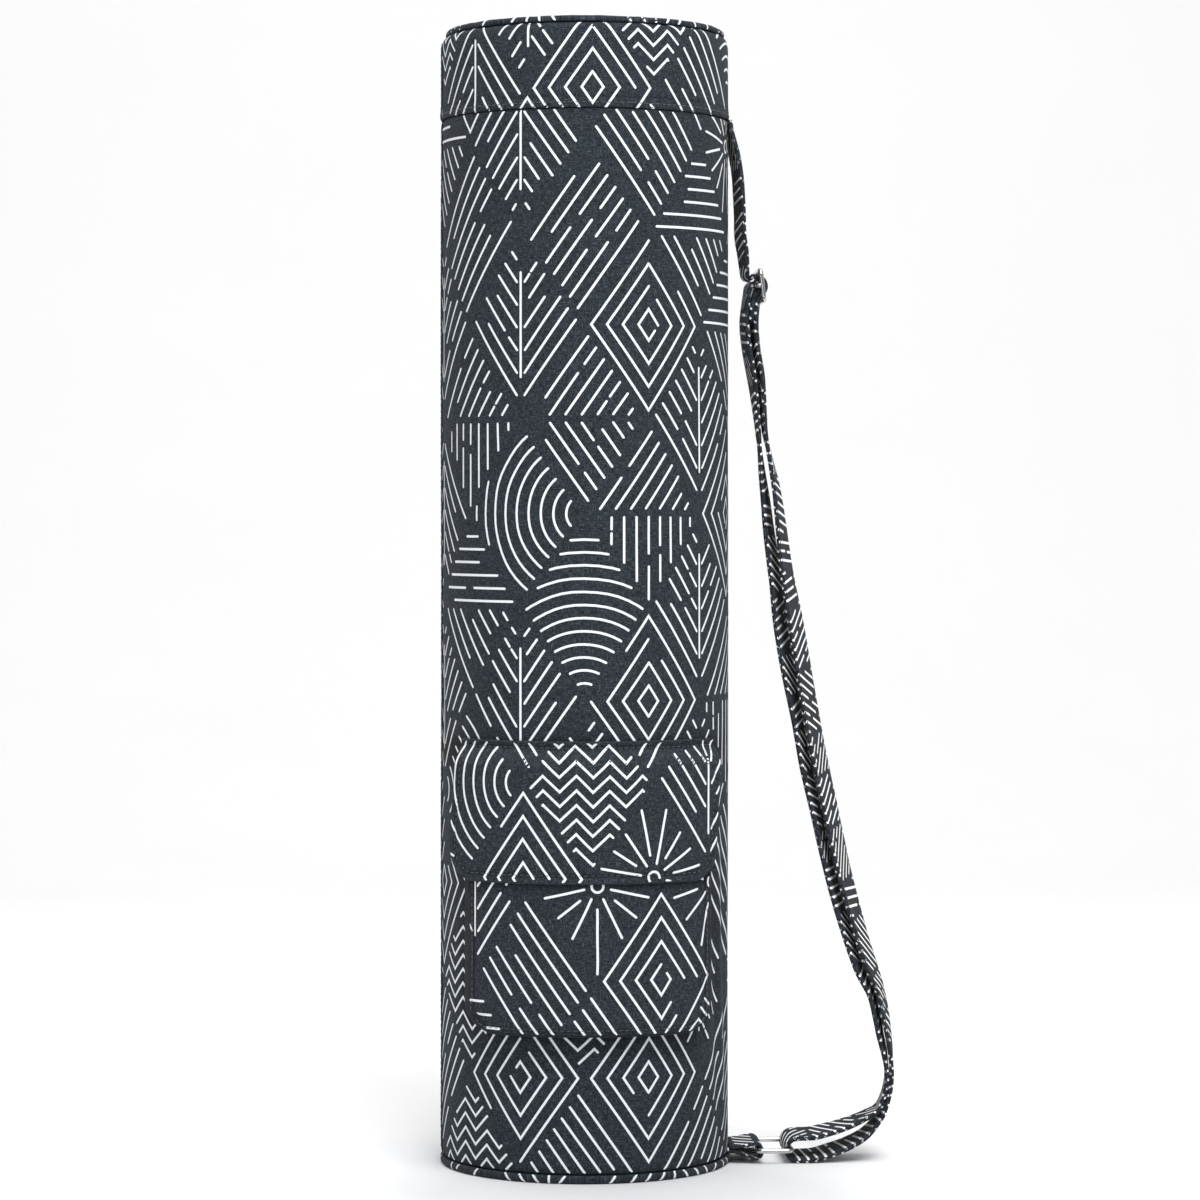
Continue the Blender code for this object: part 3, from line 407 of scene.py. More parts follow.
class Route:
    """Rows of numbers read by length along their first two values, on a smooth curve"""

    def __init__(self, rows):
        self.rows = rows
        self.knots = [0.0]
        for row, after in zip(rows, rows[1:]):
            self.knots.append(self.knots[-1] + math.dist(row[:2], after[:2]))
        self.length = self.knots[-1]
        self.slopes = []
        for index in range(len(rows)):
            low, high = max(index - 1, 0), min(index + 1, len(rows) - 1)
            span = self.knots[high] - self.knots[low]
            self.slopes.append([(b - a) / span for a, b in zip(rows[low], rows[high])])
        self.hint = 0

    def at(self, length):
        """Values and their rates at a length"""
        length = min(max(length, 0.0), self.length)
        index = self.hint
        while index > 0 and self.knots[index] > length:
            index -= 1
        while index < len(self.knots) - 2 and self.knots[index + 1] < length:
            index += 1
        self.hint = index
        span = self.knots[index + 1] - self.knots[index]
        t = (length - self.knots[index]) / span
        values, rates = [], []
        for a, b, sa, sb in zip(self.rows[index], self.rows[index + 1], self.slopes[index], self.slopes[index + 1]):
            sa, sb = sa * span, sb * span
            values.append(((2 * t - 3) * t * t + 1) * a + ((t - 2) * t + 1) * t * sa
                          + (3 - 2 * t) * t * t * b + (t - 1) * t * t * sb)
            rates.append(((6 * t - 6) * t * a + ((3 * t - 4) * t + 1) * sa
                          + (6 - 6 * t) * t * b + (3 * t - 2) * t * sb) / span)
        return values, rates


# Strokes of the print, with places on the cloth as complex numbers in millimetres


def cut_to(stroke, inside, step=2.6):
    """The parts of a stroke that lie inside"""
    points = [stroke[0]]
    for first, second in zip(stroke, stroke[1:]):
        count = max(1, math.ceil(abs(second - first) / step))
        points += [first + (second - first) * k / count for k in range(1, count + 1)]
    parts, part, was = [], [], False
    for index, point in enumerate(points):
        now = inside(point)
        if index and now != was:
            low, high = points[index - 1], point
            for _ in range(10):
                middle = (low + high) / 2
                low, high = (middle, high) if inside(middle) == was else (low, middle)
            part.append(low if was else high)
            if was:
                parts.append(part)
                part = []
        if now:
            part.append(point)
        was = now
    parts.append(part)
    return [part for part in parts if len(part) > 1 and abs(part[-1] - part[0]) + len(part) > 6.5]


def drawn_in(core, spot, inside):
    """A place beside a stroke, drawn back to the edge of the cloth if it lies past it"""
    if inside(spot):
        return spot
    for _ in range(9):
        middle = (core + spot) / 2
        core, spot = (middle, spot) if inside(middle) else (core, middle)
    return core


def ribbons(name, strokes, place, on_cloth, material=ink, slot="canvas", width=LINE_WIDTH, lift=0.11, step=2.0):
    """Strokes as thin printed lines with round ends that follow the cloth"""
    cloth = Cloth()
    half = width / 2

    def inside(spot):
        return on_cloth(spot.real, spot.imag)

    for stroke in strokes:
        for part in cut_to(stroke, inside, step):
            ways = [(second - first) / (abs(second - first) or 1.0) for first, second in zip(part, part[1:])]
            caps = [[(end + way * half * (turn * along - 1j * across), end + way * half * (turn * along + 1j * across))
                     for along, across in ((0.98, 0.2), (0.72, 0.69))]
                    for way, end, turn in ((ways[0], part[0], -1), (ways[-1], part[-1], 1))]
            middle = []
            for index, point in enumerate(part):
                side = 1j * (ways[max(index - 1, 0)] + ways[min(index, len(ways) - 1)])
                size = abs(side) or 1.0
                side *= half / max(0.45, size / 2) / size
                middle.append((point - side, point + side))
            lines = []
            for core, pair in zip([part[0]] * 2 + part + [part[-1]] * 2, caps[0] + middle + caps[1][::-1]):
                spots = [drawn_in(core, spot, inside) for spot in pair]
                lines.append([cloth.vert(place(spot.real, spot.imag, lift), (spot.real, spot.imag)) for spot in spots])
            cloth.grid([line[::-1] for line in lines])
    return cloth.piece(name, material, slot)


def stitches(name, runs, material, slot, long=2.7, gap=1.0, thick=0.27):
    """Sewing thread along runs of (place, points), each stitch a small rounded dash"""
    cloth = Cloth()
    for place, points in runs:
        route = Route(points)
        count = max(1, int(route.length / (long + gap)))
        for index in range(count):
            start = (index + 0.5) * route.length / count - long / 2
            rings = []
            for share, size in ((0.0, 0.25), (0.16, 0.85), (0.5, 1.0), (0.84, 0.85), (1.0, 0.25)):
                (a, b), (da, db) = route.at(start + long * share)
                centre = place(a, b, 0.10 * math.sin(math.pi * share))
                out = (place(a, b, 1.0) - place(a, b, 0.0)).normalized()
                way = (place(a + 0.2 * da, b + 0.2 * db, 0.0) - place(a, b, 0.0)).normalized()
                side = out.cross(way)
                rings.append([cloth.vert(centre + (side * math.cos(TAU * k / 5) + out * math.sin(TAU * k / 5))
                                         * thick * size * MM, (a + k * 0.2, b)) for k in range(5)])
            cloth.tube(rings)
    return cloth.piece(name, material, slot)


def in_polygon(polygon, margin):
    """A test for places at least a margin inside a polygon that has its corners anticlockwise"""
    ring = zip(polygon, polygon[1:] + polygon[:1])
    sides = [(corner, (after - corner) / abs(after - corner)) for corner, after in ring]
    return lambda spot: all((way.conjugate() * (spot - corner)).imag >= margin for corner, way in sides)


def cell_of(polygon):
    """The middle of a cell, and a test for places inside it"""
    return sum(polygon) / len(polygon), in_polygon(polygon, CELL_MARGIN)


def hatch(polygon, angle, dice):
    """Parallel strokes across a cell, some of them short or broken"""
    middle, inside = cell_of(polygon)
    way = cmath.rect(1.0, angle)
    strokes = []
    for index in range(-9, 10):
        centre = middle + 1j * way * index * LINE_PITCH
        for part in cut_to([centre - way * 70, centre + way * 70], inside):
            spans = dice.choice(((0, 1), (0, 1), (0, 1), (0.22, 1), (0, 0.72), (0, 0.4, 0.56, 1), (0, 0.62, 0.76, 1)))
            for ends in zip(spans[::2], spans[1::2]):
                strokes.append([part[0] + (part[-1] - part[0]) * end for end in ends])
    return strokes


def nested(polygon, dice):
    """Outlines of the cell one inside another, each left open at one place"""
    middle = sum(polygon) / len(polygon)
    strokes = []
    for index in range(4):
        ring = [middle + (corner - middle) * (0.90 - 0.245 * index) for corner in polygon]
        first = dice.randrange(len(ring))
        ring = ring[first:] + ring[:first]
        opening = dice.choice((0.0, 0.35, 0.6))
        strokes.append(ring + [ring[-1] + (ring[0] - ring[-1]) * (1 - opening)])
    return strokes


def fan(polygon, dice):
    """Arcs about one corner of the cell"""
    inside = in_polygon(polygon, CELL_MARGIN)
    corner = polygon[dice.randrange(len(polygon))]
    strokes = []
    for index in range(1, 13):
        strokes += cut_to([corner + cmath.rect(LINE_PITCH * (index + 0.4), TAU * k / 60) for k in range(61)], inside)
    return strokes


def rays(polygon, dice):
    """A small ring with rays about it"""
    middle, inside = cell_of(polygon)
    strokes = [[middle + cmath.rect(3.4, TAU * k / 20) for k in range(21)]]
    count = dice.choice((12, 14, 16))
    for index in range(count):
        angle = TAU * (index + 0.5) / count
        strokes += cut_to([middle + cmath.rect(far, angle) for far in (8.0 if index % 2 else 13.0, 60.0)], inside)
    return strokes


def zigzag(polygon, dice):
    """Rows of zigzags across the cell"""
    middle, inside = cell_of(polygon)
    shift = dice.random() * 14
    strokes = []
    for index in range(-7, 8):
        strokes += cut_to([middle + complex(9.5 * k + shift - 62, index * LINE_PITCH * 1.1 + (4.6 if k % 2 else -4.6))
                           for k in range(13)], inside)
    return strokes


def uneven(strokes, amount, seed, scale=1.0):
    """Strokes at a scale, each drawn a little out of true"""
    def drift(spot):
        return complex(ripple(spot.real, spot.imag, 0, 21, seed), ripple(spot.real, spot.imag, 9, 23, seed))
    return [[scale * spot + amount * drift(spot) for spot in stroke] for stroke in strokes]


def design(left, right, low, high, seed):
    """Strokes of the print over an area of cloth: a lattice of cells, each filled with a plain motif"""
    dice = random.Random(seed)
    shift = complex(dice.random() * CELL_WIDTH, dice.random() * CELL_HEIGHT)
    lean = math.atan2(CELL_HEIGHT, CELL_WIDTH)
    strokes = []
    for row in range(int((low - shift.imag) // (CELL_HEIGHT / 2)) - 1, int((high - shift.imag) // (CELL_HEIGHT / 2)) + 3):
        for column in range(int((left - shift.real) // CELL_WIDTH) - 1, int((right - shift.real) // CELL_WIDTH) + 3):
            middle = shift + complex(CELL_WIDTH * (column + 0.5 * (row % 2)), CELL_HEIGHT / 2 * row)
            cell = [middle + corner for corner in CELL_CORNERS]
            east, north, west, south = cell
            kind = dice.random()
            if kind < 0.30:
                turn = dice.choice((lean, -lean))
                strokes += hatch([east, north, south], turn, dice) + hatch([north, west, south], -turn, dice)
                strokes.append([middle - 30j, middle + 30j])
            elif kind < 0.46:
                strokes += hatch(cell, dice.choice((lean, -lean)), dice)
            elif kind < 0.60:
                strokes += hatch([east, north, west], dice.choice((0.0, lean)), dice)
                strokes += hatch([west, south, east], dice.choice((math.pi / 2, -lean)), dice)
            else:
                motif = nested if kind < 0.74 else fan if kind < 0.84 else rays if kind < 0.92 else zigzag
                strokes += motif(cell, dice)
    return uneven(strokes, 0.5, seed)


def strap_design(length, seed):
    """Strokes of the print along a narrow strip, which is cut from cloth that runs on past its edges"""
    dice = random.Random(seed)
    strokes, start, fine = [], -10.0, 0.72
    while start < length / fine:
        end = start + dice.uniform(26, 54)
        block = [complex(44, start), complex(44, end), complex(-44, end), complex(-44, start)]
        strokes += hatch(block, dice.choice((0.30, -0.30, 0.55, -0.55, 0.12, 0.06, -0.06)), dice)
        start = end
    return uneven(strokes, 0.4, seed, fine)


# The tube

FIRST = (SLIT_MIDDLE + SLIT_HALF) * RADIUS
LAST = (SLIT_MIDDLE + TAU - SLIT_HALF) * RADIUS
LID_HEM, BASE_SEAM = 616.7, 5.2


def edge_inset(x, b, half, low, corner):
    """Distance inside the outline of a panel with rounded lower corners"""
    across, down = abs(x) - (half - corner), low + corner - b
    if across > 0 and down > 0:
        return corner - math.hypot(across, down)
    return min(half - abs(x), b - low)


def painted_shadow_beside_pocket(a, b):
    """Painted shadow on the cloth of the tube beside the pocket and the flap that is sewn on it, strongest at their
    edges
    """
    if abs(a) > 120:
        return 0.0
    x = RADIUS * math.sin(a / RADIUS)
    pocket = near(-edge_inset(x, b, *GUSSET_FOOT, POUCH_CORNER), 2.6) if b < POUCH_MOUTH else 0.0
    flap = near(-edge_inset(x + 4.0, b, 84.0, POUCH_MOUTH, 6.0), 2.2) * near(b - FLAP_TOP, 1.6) if b > 180 else 0.0
    return 0.85 * max(pocket, flap)


def body_place(a, b, lift):
    """The body: a soft tube that draws in along its seams, with dents beside the strap"""
    angle = a / RADIUS
    upper, lower = LID_HEM - b, b - BASE_SEAM
    relief = 0.35 * around(angle, b * 0.35, 70.0) + 0.12 * around(angle, b, 24.0, 3.0)
    relief -= near(upper, 1.6) * (0.32 + 0.2 * around(angle, 0, 6.0)) + 0.30 * near(upper, 9.0) * around(angle, 0, 8.0, 1.0)
    relief -= near(lower, 1.9) * (0.8 + 0.3 * around(angle, 0, 6.5, 4.0))
    relief -= 0.45 * near(lower, 12.0) * around(angle, 0, 9.0, 2.0)
    beside = math.degrees((angle + math.pi) % TAU - math.pi)
    window = bell(beside - 66.0, 11.0) * bell(b - 125.0, 85.0)
    relief -= 2.2 * window * (0.5 + 0.5 * math.sin(beside * 0.50 + 0.02 * b))
    relief -= 0.35 * near(min(a - FIRST, LAST - a), 3.0)
    return on_tube(RADIUS + min(relief, 0.22) + lift, angle, b)


def even(low, high, step):
    """Evenly spaced numbers"""
    count = max(1, round((high - low) / step))
    return [low + (high - low) * k / count for k in range(count + 1)]


heights = [5.9, 6.4, 7.2, 8.2, 9.6, 11.5] + even(14, 604, 4.4) + [607, 609.5, 611.5, 613, 614.2, 615.1, 615.7, 616.0]
# Painted shade darkens the body's cloth along the lid hem and the base seam, and a painted shadow darkens it beside the
# pocket and the flap
shell("bag_cloth", body_place, [(height, FIRST, LAST) for height in heights], 250, 2.0, "bag_body",
      painted_shade=lambda a, b: 0.4 * near(LID_HEM - b, 1.2) + 0.9 * near(b - BASE_SEAM, 1.6) + painted_shadow_beside_pocket(a, b))
ribbons("bag_print", design(FIRST, LAST, 0, 620, 11), body_place,
        lambda a, b: FIRST + 1.0 < a < LAST - 1.0 and 6.2 < b < 615.9)


def facing_place(a, b, lift):
    """Strip of cloth that faces the zip"""
    held = min(max(b, 6.0), 616.0)
    out = body_place(a, 300.0, 1.0) - body_place(a, 300.0, 0.0)
    return body_place(a, held, 0.0) + out * (0.6 + lift) + Vector((0, 0, (b - held) * MM))


def facing(name, place, heights, sewn, left, right):
    """A facing strip with its two sewing lines"""
    shell(name, place, [(height, left, right) for height in heights], 9, 0.5)
    runs.extend((place, [(a, b) for b in sewn]) for a in (left + 2.0, right - 2.0))


FACINGS = (("left", FIRST + 0.4, math.radians(-84.5) * RADIUS, 23),
           ("right", math.radians(360 - 104 - 19.5) * RADIUS, LAST - 0.4, 24))
runs = []
for side, left, right, seed in FACINGS:
    facing("zip_facing_" + side, facing_place, [7.0] + even(9, 612, 6) + [615.0], even(9, 613, 20), left, right)
    ribbons("zip_facing_print_" + side, design(left, right, 0, 620, seed), facing_place,
            lambda a, b: left + 0.4 < a < right - 0.4 and 7.5 < b < 614.5)


# Lid, top and base


def on_edge(route, a, b, lift, push=lambda angle, radius, height: (0.0, 0.0)):
    """A point of a turned edge by its length, standing out from it"""
    (radius, height), (out, up) = route.at(b)
    size = math.hypot(out, up)
    outward, upward = push(a / RADIUS, radius, height)
    return on_tube(radius + outward + up / size * lift, a / RADIUS, height + upward - out / size * lift)


LID_PROFILE = Route(rounded([
    (84.5, 616.8), (85.15, 616.9), (85.42, 617.6), (85.42, 620.0), (85.40, 623.2), (85.06, 625.4), (85.0, 630.0),
    (85.0, 640.0), (85.0, 655.0), (85.0, 659.5), (84.75, 662.6), (83.7, 664.9), (82.2, 665.95), (80.9, 666.05)]))
LID_END, LID_GROOVE = LID_PROFILE.length, 7.2


def lid_place(a, b, lift):
    """The lid band: a hem below and the edge rolled in to the top seam"""
    angle = a / RADIUS
    relief = 0.10 * around(angle, b, 26.0, 5.0)
    relief -= 0.30 * near(abs(b - LID_GROOVE), 1.1) * (1.0 + 0.4 * around(angle, 0, 6.0, 6.0))
    relief -= 0.35 * near(LID_END - b, 5.0) * (0.6 + 0.9 * around(angle, 0, 7.0, 7.0))
    return on_edge(LID_PROFILE, a, b, lift + relief)


lid_rows = even(0, 5, 1.0) + even(5.6, 9, 0.7) + even(11, LID_END - 10, 3.4) + even(LID_END - 8.6, LID_END, 0.9)
# Painted shade darkens the lid's stitch groove and the edge rolled in to the top seam
shell("lid_cloth", lid_place, [(b, FIRST, LAST) for b in lid_rows], 190, 1.6, "lid_band",
      painted_shade=lambda a, b: 0.5 * bell(b - LID_GROOVE, 0.8) + 0.6 * near(LID_END - b, 1.5))
shell("lid_zip_end", lid_place, [(b, FIRST - 9.4, FIRST + 0.3) for b in even(37.6, LID_END - 0.3, 1.0)], 8, 1.6)
ribbons("lid_print", design(FIRST, LAST, 0, 60, 31), lid_place,
        lambda a, b: FIRST + 1.0 < a < LAST - 1.0 and 0.35 < b < LID_END - 0.8)
runs.append((lid_place, [(a, 3.5) for a in even(FIRST + 3, LAST - 3, 12)]))


def facing_on_lid(a, b, lift):
    """The same facing strip where it crosses the lid band"""
    return lid_place(a, b, lift + 0.55)


for side, left, right, _ in FACINGS:
    facing("lid_facing_" + side, facing_on_lid, even(0.3, LID_END - 6.0, 2.0), even(1.5, LID_END - 7.0, 10), left, right)


def top_push(angle, radius, height=0.0):
    """Gathers in the top panel, strongest at its seam, and its soft sag inside the seam"""
    pull = 0.22 * bell(radius - 80.6, 3.2)
    sag = 0.25 * ripple(radius * math.sin(angle), radius * math.cos(angle), 0, 34, 3) * min(1.0, radius / 20.0)
    return pull * around(angle, 0, 6.5, 3), (pull * around(angle, 0, 6.0, 5) + sag) if radius < 84.6 else 0.0


def base_push(angle, radius, height):
    """Gathers in the welt of the base"""
    return 0.22 * around(angle, 0, 6.5, 8) * bell(radius - 85.4, 1.6), 0.0


def top_height(radius):
    """The low dome of the top"""
    return 668.5 - 1.1 * (radius / 78.0) ** 2


def top_place(a, b, lift):
    """The round top, by plain places across it"""
    radius = math.hypot(a, b)
    return Vector((a, b, top_height(radius) + top_push(math.atan2(a, -b), radius)[1] + lift)) * MM


def top_edge_place(a, b, lift):
    """The top panel's cloth where it turns over its seam"""
    return on_edge(TOP_EDGE, a, b, lift, top_push)


def base_place(a, b, lift):
    """The base panel's cloth where it turns up to its seam"""
    return on_edge(BASE_EDGE, a, b, lift, base_push)


TOP_WELT = [(79.3, 669.2), (80.6, 670.1), (82.1, 669.4), (82.75, 667.9), (82.2, 666.5)]
TOP_EDGE = Route(rounded(TOP_WELT[::-1] + [(78.5, 667.3)]))
BASE_EDGE = Route([(84.9, 0.3), (85.75, 1.3), (86.05, 2.9), (85.8, 4.1), (84.9, 4.95)])
turned("top_cloth", [(radius, top_height(radius)) for radius in range(0, 78, 6)]
       + rounded([(77.4, 667.35), (78.5, 667.3)] + TOP_WELT + [(81.0, 666.35)])
       + [(radius, 666.3) for radius in (78, 60, 40, 20, 0)], top_push, "top_panel")
ribbons("top_print", design(-80, 80, -80, 80, 41), top_place, lambda a, b: math.hypot(a, b) < 76.5, lift=0.14)
runs.append((top_place, [(75.4 * math.sin(TAU * k / 60), -75.4 * math.cos(TAU * k / 60)) for k in range(61)]))
ribbons("top_edge_print", design(FIRST, LAST, 0, 9, 43), top_edge_place,
        lambda a, b: FIRST < a < LAST and 0.4 < b < TOP_EDGE.length - 1.2, lift=0.15)
BASE_WELT = [(81.5, 2.5), (82.6, 3.6), (83.6, 4.9), (84.8, 4.95), (85.75, 4.1), (86.0, 2.9), (85.7, 1.3),
             (84.9, 0.25), (83.0, 0.0)]
turned("base_cloth", [(0, 2.4), (40, 2.4), (80, 2.4)] + rounded(BASE_WELT) + [(60, 0.0), (30, 0.0), (0, 0.0)],
       base_push, "base_panel")
ribbons("base_print", design(FIRST, LAST, 0, 8, 37), base_place,
        lambda a, b: FIRST < a < LAST and 0.2 < b < BASE_EDGE.length - 0.2, lift=0.15)


# The pocket


def pouch_inset(a, b):
    """Distance inside the edge of the pocket's front"""
    return edge_inset(POUCH_SPREAD * math.sin(a / POUCH_FACE), b, POUCH_HALF, POUCH_LOW, POUCH_CORNER)


def pouch_place(a, b, lift):
    """The front of the pocket, softly rolled in at its edges, with a tuck in its lower left corner"""
    angle = a / POUCH_FACE
    inset = pouch_inset(a, b)
    roll = max(0.0, 1.0 - inset / 6.0)
    relief = 0.35 * ripple(a, b, 0, 45, 2) - 1.0 * roll * roll - 0.40 * bell(inset - POUCH_SEWING, 1.2)
    relief += 0.45 * roll * ripple(a, b, 0, 8, 4)
    relief += bell(POUCH_SPREAD * math.sin(angle) + 66.5, 3.5) * (1.5 * bell(b - 99.5, 2.2) - 2.0 * bell(b - 95.5, 2.0))
    return on_tube(POUCH_FACE + relief + lift, angle, b)


def pouch_edge(side, b):
    """The left (-1) or right (1) edge of the pocket's front along its curve"""
    down = max(0.0, POUCH_LOW + POUCH_CORNER - b)
    x = POUCH_HALF - POUCH_CORNER + math.sqrt(max(0.0, POUCH_CORNER ** 2 - down ** 2))
    return side * POUCH_FACE * math.asin(x / POUCH_SPREAD)


def corner_heights(low, corner, angles):
    """Heights up a rounded lower corner"""
    return [low + corner * (1 - math.sin(math.radians(angle))) for angle in angles]


heights = corner_heights(POUCH_LOW, POUCH_CORNER, (88, 80, 72, 63, 54, 45, 36, 27, 18, 9))
heights += even(POUCH_LOW + POUCH_CORNER, POUCH_MOUTH, 1.7)
# Painted shade darkens the pocket's stitch groove and its edges, and a painted shadow darkens it under the flap's lower
# edge
shell("pocket_cloth", pouch_place, [(b, pouch_edge(-1, b), pouch_edge(1, b)) for b in heights], 144, 1.8, "pouch_panel",
      painted_shade=lambda a, b: 0.8 * bell(pouch_inset(a, b) - POUCH_SEWING, 0.8) + 0.9 * near(pouch_inset(a, b), 0.9)
      + near(FLAP_LOW - b, 2.4))
ribbons("pocket_print", design(-80, 80, 80, 240, 57), pouch_place,
        lambda a, b: abs(a) < 90 and b < POUCH_MOUTH - 1 and pouch_inset(a, b) > 0.8)


def outline(t, half, low):
    """Point and outward direction round a pocket outline, by its share of the way from the left end of the mouth"""
    straight = POUCH_MOUTH - low - POUCH_CORNER
    bend = math.pi / 2 * POUCH_CORNER
    flat = 2 * (half - POUCH_CORNER)
    t *= 2 * straight + 2 * bend + flat
    side = -1
    if t > straight + bend + flat / 2:
        t = 2 * straight + 2 * bend + flat - t
        side = 1
    if t < straight:
        return side * half, POUCH_MOUTH - t, side, 0.0
    if t < straight + bend:
        angle = (t - straight) / POUCH_CORNER
        return (side * (half - POUCH_CORNER + POUCH_CORNER * math.cos(angle)),
                low + POUCH_CORNER * (1 - math.sin(angle)), side * math.cos(angle), -math.sin(angle))
    return side * (half - POUCH_CORNER - (t - straight - bend)), low, 0.0, -1.0


def gusset_place(a, b, lift):
    """The pocket's side: b runs round the outline, a from the front to the bag"""
    share = min(max((GUSSET_WIDE - a) / GUSSET_WIDE, -0.05), 1.05)
    t = min(max(b / GUSSET_LONG, 0.0), 1.0)
    x, z, dx, dz = [foot + (tip - foot) * share for foot, tip in zip(outline(t, *GUSSET_FOOT), outline(t, *GUSSET_TIP))]
    hollow = math.sin(math.pi * min(max(share, 0), 1))
    out = lift - 1.1 * hollow + 0.35 * ripple(b, GUSSET_WIDE - a, 0, 11, 6) * hollow
    x += dx * out
    radius = 85.45 + 10.45 * share
    return Vector((x, -math.sqrt(radius * radius - x * x), z + dz * out)) * MM


# The pocket's side is darkened all over by painted shade
shell("pocket_side", gusset_place, [(b, 0.0, GUSSET_WIDE) for b in even(0, GUSSET_LONG, 3.0)], 8, 1.4, "pouch_gusset",
      painted_shade=lambda a, b: 1.0)


def flap_shift(b):
    """How far the flap leans to the left at a height"""
    return FLAP_SHIFT * min(1.0, (FLAP_TOP - b) / 60.5)


def flap_edge(side, b):
    """The flap's left (-1) or right (1) edge along its curve, drawn in at its rounded lower corner"""
    down = max(0.0, FLAP_LOW + FLAP_CORNER - b)
    narrow = FLAP_CORNER - math.sqrt(max(0.0, FLAP_CORNER ** 2 - down ** 2))
    return side * (FLAP_HALF - narrow) - flap_shift(b)


def flap_inset(a, b):
    """Distance inside the edge of the flap"""
    return edge_inset(a + flap_shift(b), b, FLAP_HALF, FLAP_LOW, FLAP_CORNER)


FOLD = Route([(0.0, 0.0), (3.9, 0.0), (6.9, 0.40), (9.9, 0.80), (13.2, 1.0), (30.0, 1.0), (80.0, 1.0)])


def flap_place(a, b, lift):
    """The flap: sewn flat, out over the mouth, and hanging in front of the pocket"""
    drop = FLAP_TOP - b
    share = 0.0 if drop < 0 else FOLD.at(drop)[0][1]
    inset = min(flap_inset(a, b), 20.0)
    relief = 0.30 * ripple(a, b, 0, 38, 7) * share - 0.46 * bell(inset - FLAP_SEWING, 1.2)
    relief += 0.30 * near(inset, 3.0) * ripple(a, b, 0, 9, 8)
    relief += 0.9 * share * bell(a - flap_edge(-1, max(b, FLAP_LOW)), 12.0) * bell(b - 196, 26.0)
    relief -= 0.22 * bell(drop - FLAP_TOP_SEWING, 1.0)
    radius = 86.3 + 13.0 * share
    return on_tube(radius + 1.0 + relief + lift, a / radius, b)


heights = corner_heights(FLAP_LOW, FLAP_CORNER, (88, 81, 74, 66, 58, 50, 42, 34, 26, 17, 8))
heights += even(FLAP_LOW + FLAP_CORNER, 237, 1.7) + even(237.6, FLAP_TOP, 0.6)
# Painted shade darkens the flap's stitch grooves along its sides, corners and top
shell("flap_cloth", flap_place, [(b, flap_edge(-1, b), flap_edge(1, b)) for b in heights], 150, 2.0, "pocket_flap",
      painted_shade=lambda a, b: bell(flap_inset(a, b) - FLAP_SEWING, 0.8) + 0.6 * bell(FLAP_TOP - b - FLAP_TOP_SEWING, 0.9))
ribbons("flap_print", design(-95, 90, 165, 260, 64), flap_place,
        lambda a, b: FLAP_LOW + 0.4 < b < FLAP_TOP - 0.4 and flap_edge(-1, b) + 0.5 < a < flap_edge(1, b) - 0.5)


def inset_run(place, edge, low, high, corner, inset):
    """Sewing lines along the sides and the rounded lower corners of a panel, and along its top"""
    halves = []
    for side in (-1, 1):
        points = [(edge(side, b) - side * inset, b) for b in even(high, low + corner, 12)]
        for k in range(1, 7):
            angle = math.pi / 2 * k / 6
            points.append((edge(side, low + corner) - side * (corner - (corner - inset) * math.cos(angle)),
                           low + corner - (corner - inset) * math.sin(angle)))
        halves.append(points)
    first, second = halves
    bottom = [(x, low + inset) for x in even(first[-1][0], second[-1][0], 10)[1:-1]]
    runs.append((place, first + bottom + second[::-1]))
    runs.append((place, [(x, high) for x in even(first[0][0], second[0][0], 10)]))


inset_run(flap_place, flap_edge, FLAP_LOW, FLAP_TOP - FLAP_TOP_SEWING, FLAP_CORNER, FLAP_SEWING)
inset_run(pouch_place, lambda side, b: pouch_edge(side, max(b, POUCH_LOW + POUCH_CORNER)), POUCH_LOW, POUCH_MOUTH - 2.5,
          POUCH_CORNER, POUCH_SEWING)
stitches("bag_stitching", runs, thread, "canvas")


# The strap and its tab


